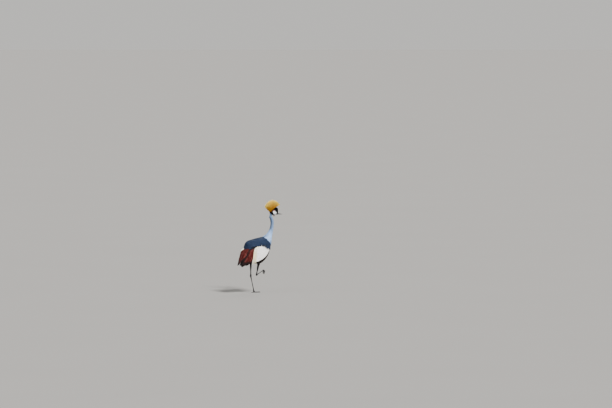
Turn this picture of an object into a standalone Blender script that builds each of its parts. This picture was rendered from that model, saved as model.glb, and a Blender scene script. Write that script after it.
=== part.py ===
"""Grey crowned crane, life size, standing on its left leg with the right leg raised.

Metres, +Z up, floor at z = 0. The body faces +X and its left side is +Y. The origin is on the
floor, under the middle of the model's box.
"""

import math
import random

import bmesh
import bpy
from mathutils import Matrix, Vector

# Driving dimensions
GAP = 0.0003            # left between touching pieces
GROW = 0.0005           # added to a piece where it cuts the piece that it sits in
BODY_SIDES = 20
CENTRE = Vector((0.1079, 0.0, 0.0))   # working place of the model's origin

# Torso and neck in side view: top point, bottom point, half width. Rump first, nape last.
BODY_PROFILE = [
    ((-0.098, 0.505), (-0.098, 0.487), 0.010),
    ((-0.087, 0.531), (-0.091, 0.466), 0.033),
    ((-0.062, 0.560), (-0.076, 0.441), 0.053),
    ((-0.024, 0.586), (-0.044, 0.416), 0.070),
    ((0.030, 0.603), (0.008, 0.401), 0.082),
    ((0.090, 0.613), (0.075, 0.395), 0.088),
    ((0.145, 0.620), (0.150, 0.405), 0.087),
    ((0.186, 0.627), (0.214, 0.438), 0.080),
    ((0.215, 0.638), (0.262, 0.490), 0.069),
    ((0.234, 0.652), (0.288, 0.550), 0.056),
    ((0.249, 0.668), (0.303, 0.604), 0.044),
    ((0.264, 0.687), (0.320, 0.650), 0.034),
    ((0.283, 0.711), (0.334, 0.693), 0.0265),
    ((0.298, 0.744), (0.347, 0.734), 0.0225),
    ((0.308, 0.784), (0.351, 0.782), 0.0200),
    ((0.304, 0.819), (0.3475, 0.826), 0.0195),
    ((0.295, 0.844), (0.3355, 0.857), 0.0185),
    ((0.2875, 0.863), (0.3235, 0.877), 0.0170),
]
TORSO_END, NECK_SPLIT, NECK_END = 10.6, 13.5, 17.0    # where they part, in steps of the profile

# Head, in its own frame: forward, left, up from the top of the neck
ATLAS = Vector((0.310, 0.0, 0.885))
HEAD_TURN = math.radians(-35.0)
SKULL = [               # forward, middle height, half width, half height
    (-0.013, 0.026, 0.006, 0.008),
    (-0.008, 0.028, 0.013, 0.019),
    (0.004, 0.033, 0.0190, 0.0290),
    (0.018, 0.037, 0.0222, 0.0350),
    (0.032, 0.039, 0.0235, 0.0385),
    (0.046, 0.041, 0.0228, 0.0385),
    (0.058, 0.042, 0.0200, 0.0360),
    (0.068, 0.041, 0.0160, 0.0320),
    (0.076, 0.040, 0.0118, 0.0260),
    (0.082, 0.038, 0.0072, 0.0180),
    (0.0855, 0.036, 0.0030, 0.0090),
]
CUSHION_AT, CUSHION_SIZE = (0.056, 0.0, 0.062), (0.0290, 0.0205, 0.0285)
NAPE_AT, NAPE_RADIUS = (0.012, 0.0, 0.030), 0.0205
EYE_AT, EYE_RADIUS = (0.050, 0.0176, 0.045), 0.0062
LID_RADIUS, LID_THICK = 0.0064, 0.0014
BILL_START, MOUTH_BACK, MOUTH_TIP = 0.064, 0.0128, 0.0082
BILL_UPPER = [          # forward, half width, height over the mouth line
    (0.064, 0.0080, 0.0105),
    (0.078, 0.0070, 0.0100),
    (0.092, 0.0056, 0.0083),
    (0.106, 0.0042, 0.0063),
    (0.119, 0.0028, 0.0043),
    (0.129, 0.0015, 0.0024),
    (0.1345, 0.0005, 0.0009),
]
BILL_LOWER = [          # forward, half width, depth under the mouth line
    (0.064, 0.0074, 0.0080),
    (0.078, 0.0064, 0.0070),
    (0.092, 0.0051, 0.0054),
    (0.106, 0.0038, 0.0039),
    (0.119, 0.0025, 0.0024),
    (0.128, 0.0013, 0.0012),
    (0.1325, 0.0005, 0.0006),
]
NOSTRIL_AT, NOSTRIL_SIZE = (0.088, 0.0165), (0.0085, 0.0020, 0.0013)
WATTLE_AT = (0.036, 0.0, -0.004)

# Crest
CREST_ROOT = Vector((0.012, 0.0, 0.0710))
CREST_BASE = (0.0150, 0.0125, 0.0120)
BRISTLES, BRISTLE_THICK = 52, 0.0012
CREST_SPREAD, CREST_LEAN = math.radians(59.0), math.radians(-2.0)
CREST_SIDE, CREST_DROOP = 0.80, 0.010       # sideways spread against the rest, sag at the tips
CREST_REACH, CREST_REACH_BACK = 0.117, 0.094

# Folded wings: a hull round the body, oval in plan and closing over the back
WING_MIDDLE, WING_HALF_WIDTH = 0.055, 0.099
WING_FRONT, WING_REAR, WING_REAR_DROP = 0.215, 0.183, 0.082
WING_WAIST, WING_WAIST_SPAN = 0.048, 0.045      # how much shorter the hull is over its widest
WING_BULGE, WING_ROUND = 2.4, 2.2
WING_WIDEST, WING_DROP_SPAN, WING_TUCK = 0.48, 0.17, 0.10
BACK_LINE = [(-0.090, 0.555), (-0.070, 0.580), (-0.040, 0.597), (0.020, 0.607), (0.083, 0.618),
             (0.200, 0.634), (0.280, 0.690)]
WING_CORE = [           # angle in plan, lower edge, upper edge, thickness above, below
    (38.0, 0.495, 0.528, 0.016, 0.012),
    (46.0, 0.480, 0.558, 0.028, 0.014),
    (58.0, 0.460, 0.580, 0.033, 0.014),
    (72.0, 0.440, 0.587, 0.033, 0.013),
    (86.0, 0.425, 0.588, 0.033, 0.012),
    (100.0, 0.425, 0.586, 0.033, 0.012),
    (112.0, 0.430, 0.580, 0.033, 0.012),
    (124.0, 0.440, 0.572, 0.033, 0.012),
    (136.0, 0.450, 0.556, 0.028, 0.012),
    (146.0, 0.462, 0.537, 0.020, 0.012),
    (154.0, 0.478, 0.514, 0.012, 0.010),
]
CORE_ROWS, CORE_COLUMNS = 6, 15

# Feathers of the left wing in tiers, innermost first: how many, the first and last root, the
# first and last tip (angle in plan, height), half width, height over the hull, tilt
WING_TIERS = [
    (4, (46.0, 0.488), (68.0, 0.474), (98.0, 0.328), (110.0, 0.352), 0.0085, 0.0018, 5.0),
    (6, (150.0, 0.500), (117.0, 0.512), (168.0, 0.317), (123.0, 0.328), 0.0152, 0.0020, 5.0),
    (7, (50.0, 0.503), (104.0, 0.500), (93.0, 0.376), (124.0, 0.362), 0.0138, 0.0052, 4.0),
    (6, (47.0, 0.520), (98.0, 0.530), (74.0, 0.452), (118.0, 0.438), 0.0158, 0.0080, 4.0),
    (6, (43.0, 0.536), (82.0, 0.556), (60.0, 0.490), (106.0, 0.486), 0.0110, 0.0104, 4.0),
    (5, (111.0, 0.524), (120.0, 0.530), (107.0, 0.332), (116.0, 0.327), 0.0023, 0.0104, 0.0),
    (7, (50.0, 0.564), (128.0, 0.560), (68.0, 0.516), (152.0, 0.502), 0.0182, 0.0132, 3.0),
    (4, (62.0, 0.588), (116.0, 0.582), (86.0, 0.546), (138.0, 0.536), 0.0165, 0.0160, 3.0),
]
VANE_STEPS, VANE_WIDTHS = (0.0, 0.25, 0.52, 0.80, 1.0), (0.45, 0.90, 1.0, 0.84, 0.22)
VANE_THICK, VANE_SINK, VANE_UNEVEN = 0.0009, 0.0045, 0.0018

# Tail
TAIL_ROOT, TAIL_TIP = Vector((-0.083, 0.0, 0.487)), Vector((-0.155, 0.0, 0.303))
TAIL_FEATHERS, TAIL_VANE, TAIL_STEP = 9, 0.0115, 0.0013     # count, half width, spacing
TAIL_SPREAD_ROOT, TAIL_SPREAD_TIP, TAIL_ROUND = 0.009, 0.021, 0.014
TAIL_CORE = [(-0.020, 0.014, 0.0085), (0.020, 0.017, 0.0100), (0.055, 0.018, 0.0095),
             (0.082, 0.014, 0.0072)]     # place along the tail, half width, half height

# Legs, as lists of (x, y, z), radius. The last point of one piece is the first of the next.
THIGH_LEFT = [((0.020, 0.033, 0.452), 0.026), ((0.020, 0.035, 0.400), 0.0255),
              ((0.017, 0.032, 0.350), 0.0175), ((0.012, 0.027, 0.300), 0.0110),
              ((0.007, 0.022, 0.255), 0.0068), ((0.003, 0.0175, 0.212), 0.0072)]
SHANK_LEFT = [((0.003, 0.0175, 0.212), 0.0088), ((0.000, 0.0150, 0.195), 0.0112),
              ((0.003, 0.0150, 0.178), 0.0075), ((0.014, 0.0150, 0.140), 0.0050),
              ((0.030, 0.0150, 0.085), 0.0048), ((0.044, 0.0150, 0.034), 0.0062)]
FOOT_BALL_LEFT = Vector((0.050, 0.015, 0.0125))
THIGH_RIGHT = [((0.076, -0.044, 0.452), 0.028), ((0.071, -0.049, 0.390), 0.0265),
               ((0.062, -0.050, 0.335), 0.0185), ((0.050, -0.049, 0.288), 0.0115),
               ((0.042, -0.0475, 0.250), 0.0070), ((0.036, -0.046, 0.224), 0.0074)]
SHANK_RIGHT = [((0.036, -0.046, 0.224), 0.0088), ((0.036, -0.0445, 0.208), 0.0112),
               ((0.053, -0.0385, 0.212), 0.0075), ((0.090, -0.0245, 0.2215), 0.0050),
               ((0.145, -0.0035, 0.2350), 0.0048), ((0.190, 0.0140, 0.2445), 0.0062)]
FOOT_BALL_RIGHT = Vector((0.207, 0.0205, 0.2480))
LEG_SIDES = 8

# Toes: name, turn from straight ahead, length, radius
TOES = [("middle", 0.0, 0.085, 0.0058), ("inner", -38.0, 0.064, 0.0052),
        ("outer", 38.0, 0.069, 0.0052), ("hind", 172.0, 0.030, 0.0044)]
SOLE_HEIGHT = 0.80      # a toe's middle over the floor, against its radius
CLAW_LENGTH, CLAW_RADIUS = 0.013, 0.0030
TOE_SIDES = 8
CURL_REACH = 0.55       # how far a curled toe reaches, against its own length

COLOURS = {
    "slate_feathers": ((0.105, 0.150, 0.205), 0.75),
    "neck_feathers": ((0.270, 0.330, 0.400), 0.80),
    "velvet_black": ((0.010, 0.010, 0.012), 0.90),
    "crest_gold": ((0.560, 0.380, 0.110), 0.60),
    "wattle_red": ((0.520, 0.040, 0.035), 0.55),
    "bill_horn": ((0.050, 0.048, 0.048), 0.40),
    "eye_pale": ((0.420, 0.520, 0.600), 0.10),
    "wing_feathers": ((0.720, 0.680, 0.580), 0.70),
    "tail_feathers": ((0.014, 0.012, 0.012), 0.65),
    "leg_scales": ((0.022, 0.022, 0.024), 0.55),
    "claw_horn": ((0.030, 0.028, 0.027), 0.35),
}


# Scene and materials
def clear_scene():
    for old in list(bpy.data.objects):
        bpy.data.objects.remove(old, do_unlink=True)


def new_collection(name):
    made = bpy.data.collections.new(name)
    bpy.context.scene.collection.children.link(made)
    return made


def finish_material(name):
    if name in bpy.data.materials:
        return bpy.data.materials[name]
    colour, roughness = COLOURS[name]
    material = bpy.data.materials.new(name)
    material.use_nodes = True
    shader = material.node_tree.nodes["Principled BSDF"]
    shader.inputs["Base Color"].default_value = (*colour, 1.0)
    shader.inputs["Roughness"].default_value = roughness
    shader.inputs["Metallic"].default_value = 0.0
    return material


def add_object(name, mesh, material=None, collection=None):
    made = bpy.data.objects.new(name, mesh)
    (collection or crane).objects.link(made)
    if material:
        mesh.materials.clear()
        mesh.materials.append(finish_material(material))
        mesh.shade_smooth()
        mesh.set_sharp_from_angle(angle=math.radians(40.0))
    return made


# Curves through named points
def smooth(points, at):
    """The point at a place along a list of tuples or numbers, eased from one to the next."""
    last = len(points) - 1
    step = min(int(at), last - 1)
    t = at - step
    rows = [points[max(0, min(last, step + k))] for k in (-1, 0, 1, 2)]
    weights = (-0.5 * t ** 3 + t * t - 0.5 * t, 1.5 * t ** 3 - 2.5 * t * t + 1.0,
               -1.5 * t ** 3 + 2.0 * t * t + 0.5 * t, 0.5 * t ** 3 - 0.5 * t * t)
    if isinstance(points[0], (int, float)):
        return sum(w * r for w, r in zip(weights, rows))
    return tuple(sum(w * r[k] for w, r in zip(weights, rows)) for k in range(len(points[0])))


def stations(start, end, count):
    return [start + (end - start) * k / (count - 1) for k in range(count)]


def straight_between(pairs, x):
    """The height of a line of (x, height) pairs at x."""
    for (x0, h0), (x1, h1) in zip(pairs, pairs[1:]):
        if x <= x1 or (x1, h1) == pairs[-1]:
            t = max(0.0, min(1.0, (x - x0) / (x1 - x0)))
            return h0 + (h1 - h0) * t


# Closed bodies
def loft(rings, turned=()):
    """A closed body through rings of points, each end closed by a fan to its middle.

    Sides in turned are split along their other diagonal."""
    work = bmesh.new()
    grid = [[work.verts.new(p) for p in ring] for ring in rings]
    count = len(grid[0])
    for ring, after in zip(grid, grid[1:]):
        for k in range(count):
            n = (k + 1) % count
            if k in turned:
                work.faces.new((ring[k], ring[n], after[k]))
                work.faces.new((ring[n], after[n], after[k]))
            else:
                work.faces.new((ring[k], ring[n], after[n]))
                work.faces.new((ring[k], after[n], after[k]))
    for ring, turn in ((grid[0], 1), (grid[-1], -1)):
        middle = work.verts.new(sum((v.co for v in ring), Vector()) / count)
        for k in range(count):
            edge = (ring[(k + 1) % count], ring[k])[::turn]
            work.faces.new((*edge, middle))
    bmesh.ops.recalc_face_normals(work, faces=work.faces)
    mesh = bpy.data.meshes.new("loft")
    work.to_mesh(mesh)
    work.free()
    return mesh


def oval(middle, across, up, half_width, half_height, sides):
    """A ring of points round an oval; across and up are its unit axes."""
    ring = []
    for k in range(sides):
        a = 2.0 * math.pi * (k + 0.5) / sides
        ring.append(middle + across * (half_width * math.cos(a)) + up * (half_height * math.sin(a)))
    return ring


def ball(middle, sizes, segments=12, rows=8):
    work = bmesh.new()
    place = Matrix.Translation(middle) @ Matrix.Diagonal((*sizes, 1.0))
    bmesh.ops.create_uvsphere(work, u_segments=segments, v_segments=rows, radius=1.0, matrix=place)
    bmesh.ops.triangulate(work, faces=work.faces)
    mesh = bpy.data.meshes.new("ball")
    work.to_mesh(mesh)
    work.free()
    return mesh


def vane(spine, normals, half_width, tilt=0.0):
    """One feather: a thin plate along its spine, tilted so that the next one lies over it."""
    rings = []
    lean = math.radians(tilt)
    for k, (point, normal, share) in enumerate(zip(spine, normals, VANE_WIDTHS)):
        along = (spine[min(k + 1, len(spine) - 1)] - spine[max(k - 1, 0)]).normalized()
        side = along.cross(normal).normalized()
        face = side.cross(along)
        across = side * math.cos(lean) + face * math.sin(lean)
        out = across.cross(along).normalized() * (VANE_THICK / 2.0)
        edge = across * (half_width * share)
        rings.append([point + edge + out, point - edge + out, point - edge - out, point + edge - out])
    return loft(rings, turned=(2,))


def limb(rows, grow=0.0, sides=LEG_SIDES, steps=2):
    """A round tube through points of given radius, made as a curve and then as a mesh.

    A grown one is longer at both ends too, so it can cut what it meets face to face."""
    rows = [(Vector(p), r) for p, r in rows]
    if grow:
        ends = [(rows[0], rows[1]), (rows[-1], rows[-2])]
        (a, ra), (b, rb) = [(p + (p - q).normalized() * grow, r) for (p, r), (q, _) in ends]
        rows = [(a, ra)] + rows[1:-1] + [(b, rb)]
    places = stations(0.0, len(rows) - 1.0, steps * (len(rows) - 1) + 1)
    curve = bpy.data.curves.new("limb", "CURVE")
    curve.dimensions = "3D"
    curve.bevel_depth = 1.0
    curve.bevel_resolution = sides // 2 - 2
    curve.use_fill_caps = True
    spline = curve.splines.new("POLY")
    spline.points.add(len(places) - 1)
    for point, at in zip(spline.points, places):
        point.co = (*smooth([p for p, r in rows], at), 1.0)
        point.radius = smooth([r for p, r in rows], at) + grow
    drawn = bpy.data.objects.new("limb", curve)
    bpy.context.scene.collection.objects.link(drawn)
    bpy.context.view_layer.update()
    seen = drawn.evaluated_get(bpy.context.evaluated_depsgraph_get())
    mesh = bpy.data.meshes.new_from_object(seen)
    bpy.data.objects.remove(drawn, do_unlink=True)
    return closed(mesh)


def closed(mesh):
    """Weld a mesh's loose caps and turn its faces outward."""
    work = bmesh.new()
    work.from_mesh(mesh)
    bmesh.ops.remove_doubles(work, verts=work.verts, dist=0.00001)
    bmesh.ops.triangulate(work, faces=work.faces)
    bmesh.ops.recalc_face_normals(work, faces=work.faces)
    work.to_mesh(mesh)
    work.free()
    return mesh


def mirrored(mesh):
    """A copy of a mesh on the other side of y = 0."""
    copy = mesh.copy()
    copy.transform(Matrix.Scale(-1.0, 4, Vector((0.0, 1.0, 0.0))))
    copy.flip_normals()
    return copy


def keep_largest(mesh):
    """Keep only the largest closed surface of a mesh."""
    work = bmesh.new()
    work.from_mesh(mesh)
    work.faces.ensure_lookup_table()
    left, shells = set(work.faces), []
    while left:
        shell, edge = set(), [next(iter(left))]
        while edge:
            face = edge.pop()
            if face in left:
                left.discard(face)
                shell.add(face)
                edge.extend(f for e in face.edges for f in e.link_faces if f in left)
        shells.append(shell)
    shells.sort(key=lambda shell: sum(f.calc_area() for f in shell))
    dropped = [f for shell in shells[:-1] for f in shell]
    bmesh.ops.delete(work, geom=dropped, context="FACES")
    bmesh.ops.triangulate(work, faces=work.faces)
    work.to_mesh(mesh)
    work.free()


def boolean(mesh, others, operation, solver="EXACT"):
    """Join meshes to one, or cut them from it, with one Boolean on a collection."""
    group = new_collection("work_pieces")
    pieces = [add_object("piece", other, collection=group) for other in others]
    base = bpy.data.objects.new("base", mesh)
    bpy.context.scene.collection.objects.link(base)
    change = base.modifiers.new("join", "BOOLEAN")
    change.operand_type = "COLLECTION"
    change.collection = group
    change.operation = operation
    change.solver = solver
    bpy.context.view_layer.update()
    seen = base.evaluated_get(bpy.context.evaluated_depsgraph_get())
    result = bpy.data.meshes.new_from_object(seen)
    for done in pieces + [base]:
        bpy.data.objects.remove(done, do_unlink=True)
    bpy.data.collections.remove(group)
    keep_largest(result)
    return result


def joined(mesh, *others, solver="EXACT"):
    return boolean(mesh, others, "UNION", solver)


def cut(mesh, *others, solver="EXACT"):
    return boolean(mesh, others, "DIFFERENCE", solver)


# Torso and neck
TORSO_PLACES = stations(0.0, TORSO_END, 16)
NECK_PLACES = stations(TORSO_END, NECK_SPLIT, 8)
NAPE_PLACES = stations(NECK_SPLIT, NECK_END, 9)


def body_ring(at, grow=0.0):
    top, bottom = (Vector((x, 0.0, z)) for x, z in
                   (smooth([row[k] for row in BODY_PROFILE], at) for k in (0, 1)))
    half_width = smooth([row[2] for row in BODY_PROFILE], at)
    up = (top - bottom) / 2.0
    return oval((top + bottom) / 2.0, Vector((0.0, 1.0, 0.0)), up.normalized(),
                half_width + grow, up.length + grow, BODY_SIDES)


def body_length(places, grow=0.0):
    """A stretch of the torso and neck, its start held a gap's width from what comes before."""
    rings = [body_ring(at, grow) for at in places]
    if places[0] > 0.0:
        middle, ahead = (sum(r, Vector()) / BODY_SIDES for r in rings[:2])
        shift = (ahead - middle).normalized() * GAP
        rings[0] = [p + shift for p in rings[0]]
    return loft(rings)


def grown_body():
    """The torso and lower neck a little larger, as a cutter for what lies against them."""
    return body_length(TORSO_PLACES + NECK_PLACES[1:], GROW)


# Head and bill
def head_place():
    return Matrix.Translation(ATLAS) @ Matrix.Rotation(HEAD_TURN, 4, "Z")


def skull():
    across, up = Vector((0.0, 1.0, 0.0)), Vector((0.0, 0.0, 1.0))
    rings = []
    for at in stations(0.0, len(SKULL) - 1.0, 15):
        ahead, height, half_width, half_height = smooth(SKULL, at)
        rings.append(oval(Vector((ahead, 0.0, height)), across, up, half_width, half_height,
                          BODY_SIDES))
    return loft(rings)


def mouth_height(ahead):
    t = (ahead - BILL_START) / (BILL_UPPER[-1][0] - BILL_START)
    return MOUTH_BACK + (MOUTH_TIP - MOUTH_BACK) * t


def bill_half(rows, side, grow=0.0):
    """Upper bill where side is 1, lower where it is -1: a half oval closed along the mouth."""
    rings = []
    for at in stations(0.0, len(rows) - 1.0, 9):
        ahead, half_width, depth = smooth(rows, at)
        if at == 0.0:
            ahead -= grow
        mouth = mouth_height(ahead) + side * (GAP / 2.0 - grow)
        ring = []
        for k in range(9):
            a = math.pi * k / 8.0
            ring.append(Vector((ahead, (half_width + grow) * math.cos(a),
                                mouth + side * (depth + 2.0 * grow) * math.sin(a))))
        ring.append(Vector((ahead, 0.0, mouth)))
        rings.append(ring)
    return loft(rings)


def nostrils():
    ahead, height = NOSTRIL_AT
    length, depth, half_height = NOSTRIL_SIZE
    wide = smooth([row[1] for row in BILL_UPPER], 1.7)
    return [ball(Vector((ahead, side * wide, height)), (length, depth, half_height), 10, 6)
            for side in (-1.0, 1.0)]


def lid(side):
    """A raised rim round one eye."""
    work = bmesh.new()
    rings = []
    for k in range(16):
        a = 2.0 * math.pi * k / 16.0
        out = Vector((math.cos(a), 0.0, math.sin(a)))
        middle = Vector(EYE_AT) + Vector((0.0, 0.0034, 0.0)) + out * LID_RADIUS
        rings.append(oval(middle, out, Vector((0.0, 1.0, 0.0)), LID_THICK, LID_THICK * 1.3, 5))
    grid = [[work.verts.new(p) for p in ring] for ring in rings]
    for ring, after in zip(grid, grid[1:] + grid[:1]):
        for k in range(5):
            n = (k + 1) % 5
            work.faces.new((ring[k], ring[n], after[n]))
            work.faces.new((ring[k], after[n], after[k]))
    bmesh.ops.recalc_face_normals(work, faces=work.faces)
    mesh = bpy.data.meshes.new("lid")
    work.to_mesh(mesh)
    work.free()
    return mesh if side > 0.0 else mirrored(mesh)


def eye(side, grow=0.0):
    x, y, z = EYE_AT
    radius = EYE_RADIUS + grow
    return ball(Vector((x, side * y, z)), (radius, radius, radius), 12, 9)


def wattle(grow=0.0):
    """The small red throat wattle: a root under the chin and two hanging lobes."""
    root = Vector(WATTLE_AT)
    lobes = [(Vector((0.0, 0.0, 0.0)), (0.0065, 0.0045, 0.0060)),
             (Vector((-0.002, 0.0022, -0.0085)), (0.0050, 0.0036, 0.0078)),
             (Vector((0.002, -0.0022, -0.0075)), (0.0048, 0.0036, 0.0070))]
    first, *rest = [ball(root + at, [s + grow for s in size], 8, 7) for at, size in lobes]
    return joined(first, *rest)


def head_parts():
    """Every piece of the head in the head's own frame."""
    to_head = head_place().inverted()
    before, end = (body_ring(at) for at in (NECK_END - 0.5, NECK_END))
    middle = sum(end, Vector()) / len(end)
    ahead = (middle - sum(before, Vector()) / len(end)).normalized()
    start = [to_head @ (p + ahead * GAP) for p in end]
    foot, inside = to_head @ (middle + ahead * GAP), Vector(NAPE_AT)
    rings = []
    for t in (0.0, 0.35, 0.70, 1.0):
        swell = 1.0 + (NAPE_RADIUS / BODY_PROFILE[-1][2] - 1.0) * t
        rings.append([foot.lerp(inside, t) + (p - foot) * swell for p in start])
    crest_root = ball(CREST_ROOT, [s + GAP for s in CREST_BASE])
    cushion = ball(Vector(CUSHION_AT), CUSHION_SIZE, 16, 10)
    head = joined(skull(), loft(rings), cushion, lid(1.0), lid(-1.0))
    head = cut(head, eye(1.0, GAP), eye(-1.0, GAP), crest_root, wattle(GAP),
               joined(bill_half(BILL_UPPER, 1.0, GAP), bill_half(BILL_LOWER, -1.0, GAP)))
    upper = cut(bill_half(BILL_UPPER, 1.0), *nostrils())
    return [("head", head, "velvet_black"), ("bill_upper", upper, "bill_horn"),
            ("bill_lower", bill_half(BILL_LOWER, -1.0), "bill_horn"),
            ("eye_left", eye(1.0), "eye_pale"), ("eye_right", eye(-1.0), "eye_pale"),
            ("wattle", wattle(), "wattle_red"), ("crest", crest(), "crest_gold")]


# Crest
def bristle(direction, reach):
    """One three-sided bristle that sags a little towards its tip."""
    side = direction.cross(Vector((0.0, 0.0, 1.0))).normalized()
    sag = Vector((direction.x, direction.y, 0.0)) * 0.6 - Vector((0.0, 0.0, 1.0))
    rings = []
    for t, thick in ((0.0, 1.0), (0.55, 0.80), (1.0, 0.45)):
        middle = CREST_ROOT + direction * (CREST_BASE[2] * 0.55 + reach * t)
        middle += sag * (CREST_DROOP * direction.xy.length * t * t)
        rings.append(oval(middle, side, side.cross(direction), BRISTLE_THICK * thick,
                          BRISTLE_THICK * thick, 3))
    return loft(rings)


def crest():
    """A fan of stiff bristles, spread evenly round its axis on a small mound."""
    draw = random.Random(11)
    lean = Matrix.Rotation(CREST_LEAN, 3, "Y")
    bristles = []
    for k in range(BRISTLES):
        off_axis = CREST_SPREAD * math.sqrt((k + 0.5) / BRISTLES)
        turn = math.radians(137.508 * k)
        ahead, side = math.sin(off_axis) * math.cos(turn), math.sin(off_axis) * math.sin(turn)
        direction = lean @ Vector((ahead, side * CREST_SIDE, math.cos(off_axis))).normalized()
        back = max(0.0, -direction.x)
        reach = CREST_REACH + (CREST_REACH_BACK - CREST_REACH) * back - CREST_BASE[2] * 0.55
        bristles.append(bristle(direction, reach * draw.uniform(0.93, 1.0)))
    return joined(ball(CREST_ROOT, CREST_BASE), *bristles)


# Wings
def wing_point(angle, z, out=0.0):
    """A point on the left wing's hull at an angle in plan, 0 ahead and 180 behind."""
    a = math.radians(angle)
    drop = max(0.0, WING_WIDEST - z) / WING_DROP_SPAN
    over = max(0.0, min(1.0, (z - WING_WIDEST) / WING_WAIST_SPAN))
    waist = WING_WAIST * over * over * (3.0 - 2.0 * over)
    reach = WING_FRONT if angle < 90.0 else WING_REAR + WING_REAR_DROP * drop - waist
    x = WING_MIDDLE + math.copysign(reach * abs(math.cos(a)) ** (2.0 / WING_BULGE), math.cos(a))
    y = WING_HALF_WIDTH * abs(math.sin(a)) ** (2.0 / WING_BULGE)
    if z > WING_WIDEST:
        rise = min(1.0, (z - WING_WIDEST) / (straight_between(BACK_LINE, x) - WING_WIDEST))
        y *= (1.0 - rise ** WING_ROUND) ** (1.0 / WING_ROUND)
    else:
        y *= 1.0 - WING_TUCK * drop * drop
    point = Vector((x, y, z))
    if out:
        point += wing_normal(angle, z) * out
    return point


def wing_normal(angle, z):
    along = wing_point(angle + 1.0, z) - wing_point(angle - 1.0, z)
    upward = wing_point(angle, z + 0.002) - wing_point(angle, z - 0.002)
    return along.cross(upward).normalized()


def wing_core():
    """The flesh and hidden feathers that carry the left wing's vanes."""
    rings = []
    for at in stations(0.0, len(WING_CORE) - 1.0, CORE_COLUMNS):
        angle, low, high, thick_high, thick_low = smooth(WING_CORE, at)
        outer, inner = [], []
        for t in stations(0.0, 1.0, CORE_ROWS):
            z = low + (high - low) * t
            thick = thick_low + (thick_high - thick_low) * min(1.0, max(0.0, (z - 0.43) / 0.05))
            outer.append(wing_point(angle, z))
            inner.append(wing_point(angle, z, -thick))
        rings.append(outer + inner[::-1])
    return loft(rings)


def wing_vane(root, tip, half_width, layer, tilt):
    """A feather over the hull, its root sunk in the core and the rest lying at its layer."""
    spine, normals = [], []
    for t in VANE_STEPS:
        angle, z = (a + (b - a) * t for a, b in zip(root, tip))
        rise = min(1.0, t / VANE_STEPS[1])
        spine.append(wing_point(angle, z, (layer + VANE_SINK) * rise - VANE_SINK))
        normals.append(wing_normal(angle, z))
    return vane(spine, normals, half_width, tilt)


def wings():
    draw = random.Random(5)
    vanes = []
    for count, root_a, root_b, tip_a, tip_b, half_width, layer, tilt in WING_TIERS:
        for t in stations(0.0, 1.0, count):
            root, tip = (tuple(a + (b - a) * t for a, b in zip(*ends))
                         for ends in ((root_a, root_b), (tip_a, tip_b)))
            tip = (tip[0] + draw.uniform(-0.8, 0.8), tip[1] + draw.uniform(-1, 1) * VANE_UNEVEN)
            vanes.append(wing_vane(root, tip, half_width, layer, tilt))
    left = cut(joined(wing_core(), *vanes), grown_body())
    return [("wing_left", left, "wing_feathers"), ("wing_right", mirrored(left), "wing_feathers")]


# Tail
def tail():
    """A fan of vanes on a short root, the middle one on top and each next one under it."""
    along = (TAIL_TIP - TAIL_ROOT).normalized()
    across = Vector((0.0, 1.0, 0.0))
    over = across.cross(along)
    root = loft([oval(TAIL_ROOT + along * place, across, over, half_width, half_height, 10)
                 for place, half_width, half_height in TAIL_CORE])
    vanes = []
    for k in range(TAIL_FEATHERS):
        u = (-1.0) ** k * ((k + 1) // 2) / (TAIL_FEATHERS // 2)
        level = over * (TAIL_STEP * (TAIL_FEATHERS / 2.0 - k))
        start = TAIL_ROOT + across * (TAIL_SPREAD_ROOT * u) + level
        end = TAIL_TIP + across * (TAIL_SPREAD_TIP * u) + level - along * (TAIL_ROUND * u * u)
        spine = [start.lerp(end, t) for t in VANE_STEPS]
        vanes.append(vane(spine, [over] * len(spine), TAIL_VANE))
    return cut(joined(root, *vanes), grown_body())


# Legs and feet
def toe_on_floor(start, turn, length, radius):
    """A toe that lies on the floor on flat pads, as a loft of eight-sided rings."""
    a = math.radians(turn)
    ahead, across = Vector((math.cos(a), math.sin(a), 0.0)), Vector((-math.sin(a), math.cos(a), 0.0))
    rings = []
    for t in stations(0.0, 1.0, 8):
        size = radius * (1.0 - 0.30 * t)
        pad = size * (1.0 - 0.06 * math.cos(6.0 * math.pi * t))
        middle = Vector((start.x, start.y, 0.0)) + ahead * length * t
        middle.z = size * SOLE_HEIGHT
        rings.append(oval(middle, across, Vector((0.0, 0.0, 1.0)), pad, pad, TOE_SIDES))
    return loft(rings)


def toe_tip(start, turn, length, radius):
    a = math.radians(turn)
    ahead = Vector((math.cos(a), math.sin(a), 0.0))
    return Vector((start.x, start.y, 0.0)) + ahead * length, ahead, radius * 0.70


def claw_on_floor(start, turn, length, radius):
    tip, ahead, size = toe_tip(start, turn, length, radius)
    rows = []
    for t in (0.0, 0.35, 0.70, 1.0):
        rise = size * SOLE_HEIGHT * (1.0 - t * t) + 0.0012 + 0.0006 * math.sin(math.pi * t)
        point = tip + ahead * (GAP + CLAW_LENGTH * t)
        rows.append(((point.x, point.y, rise), CLAW_RADIUS * (1.0 - t) + 0.0004))
    return limb(rows, sides=6, steps=1)


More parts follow.
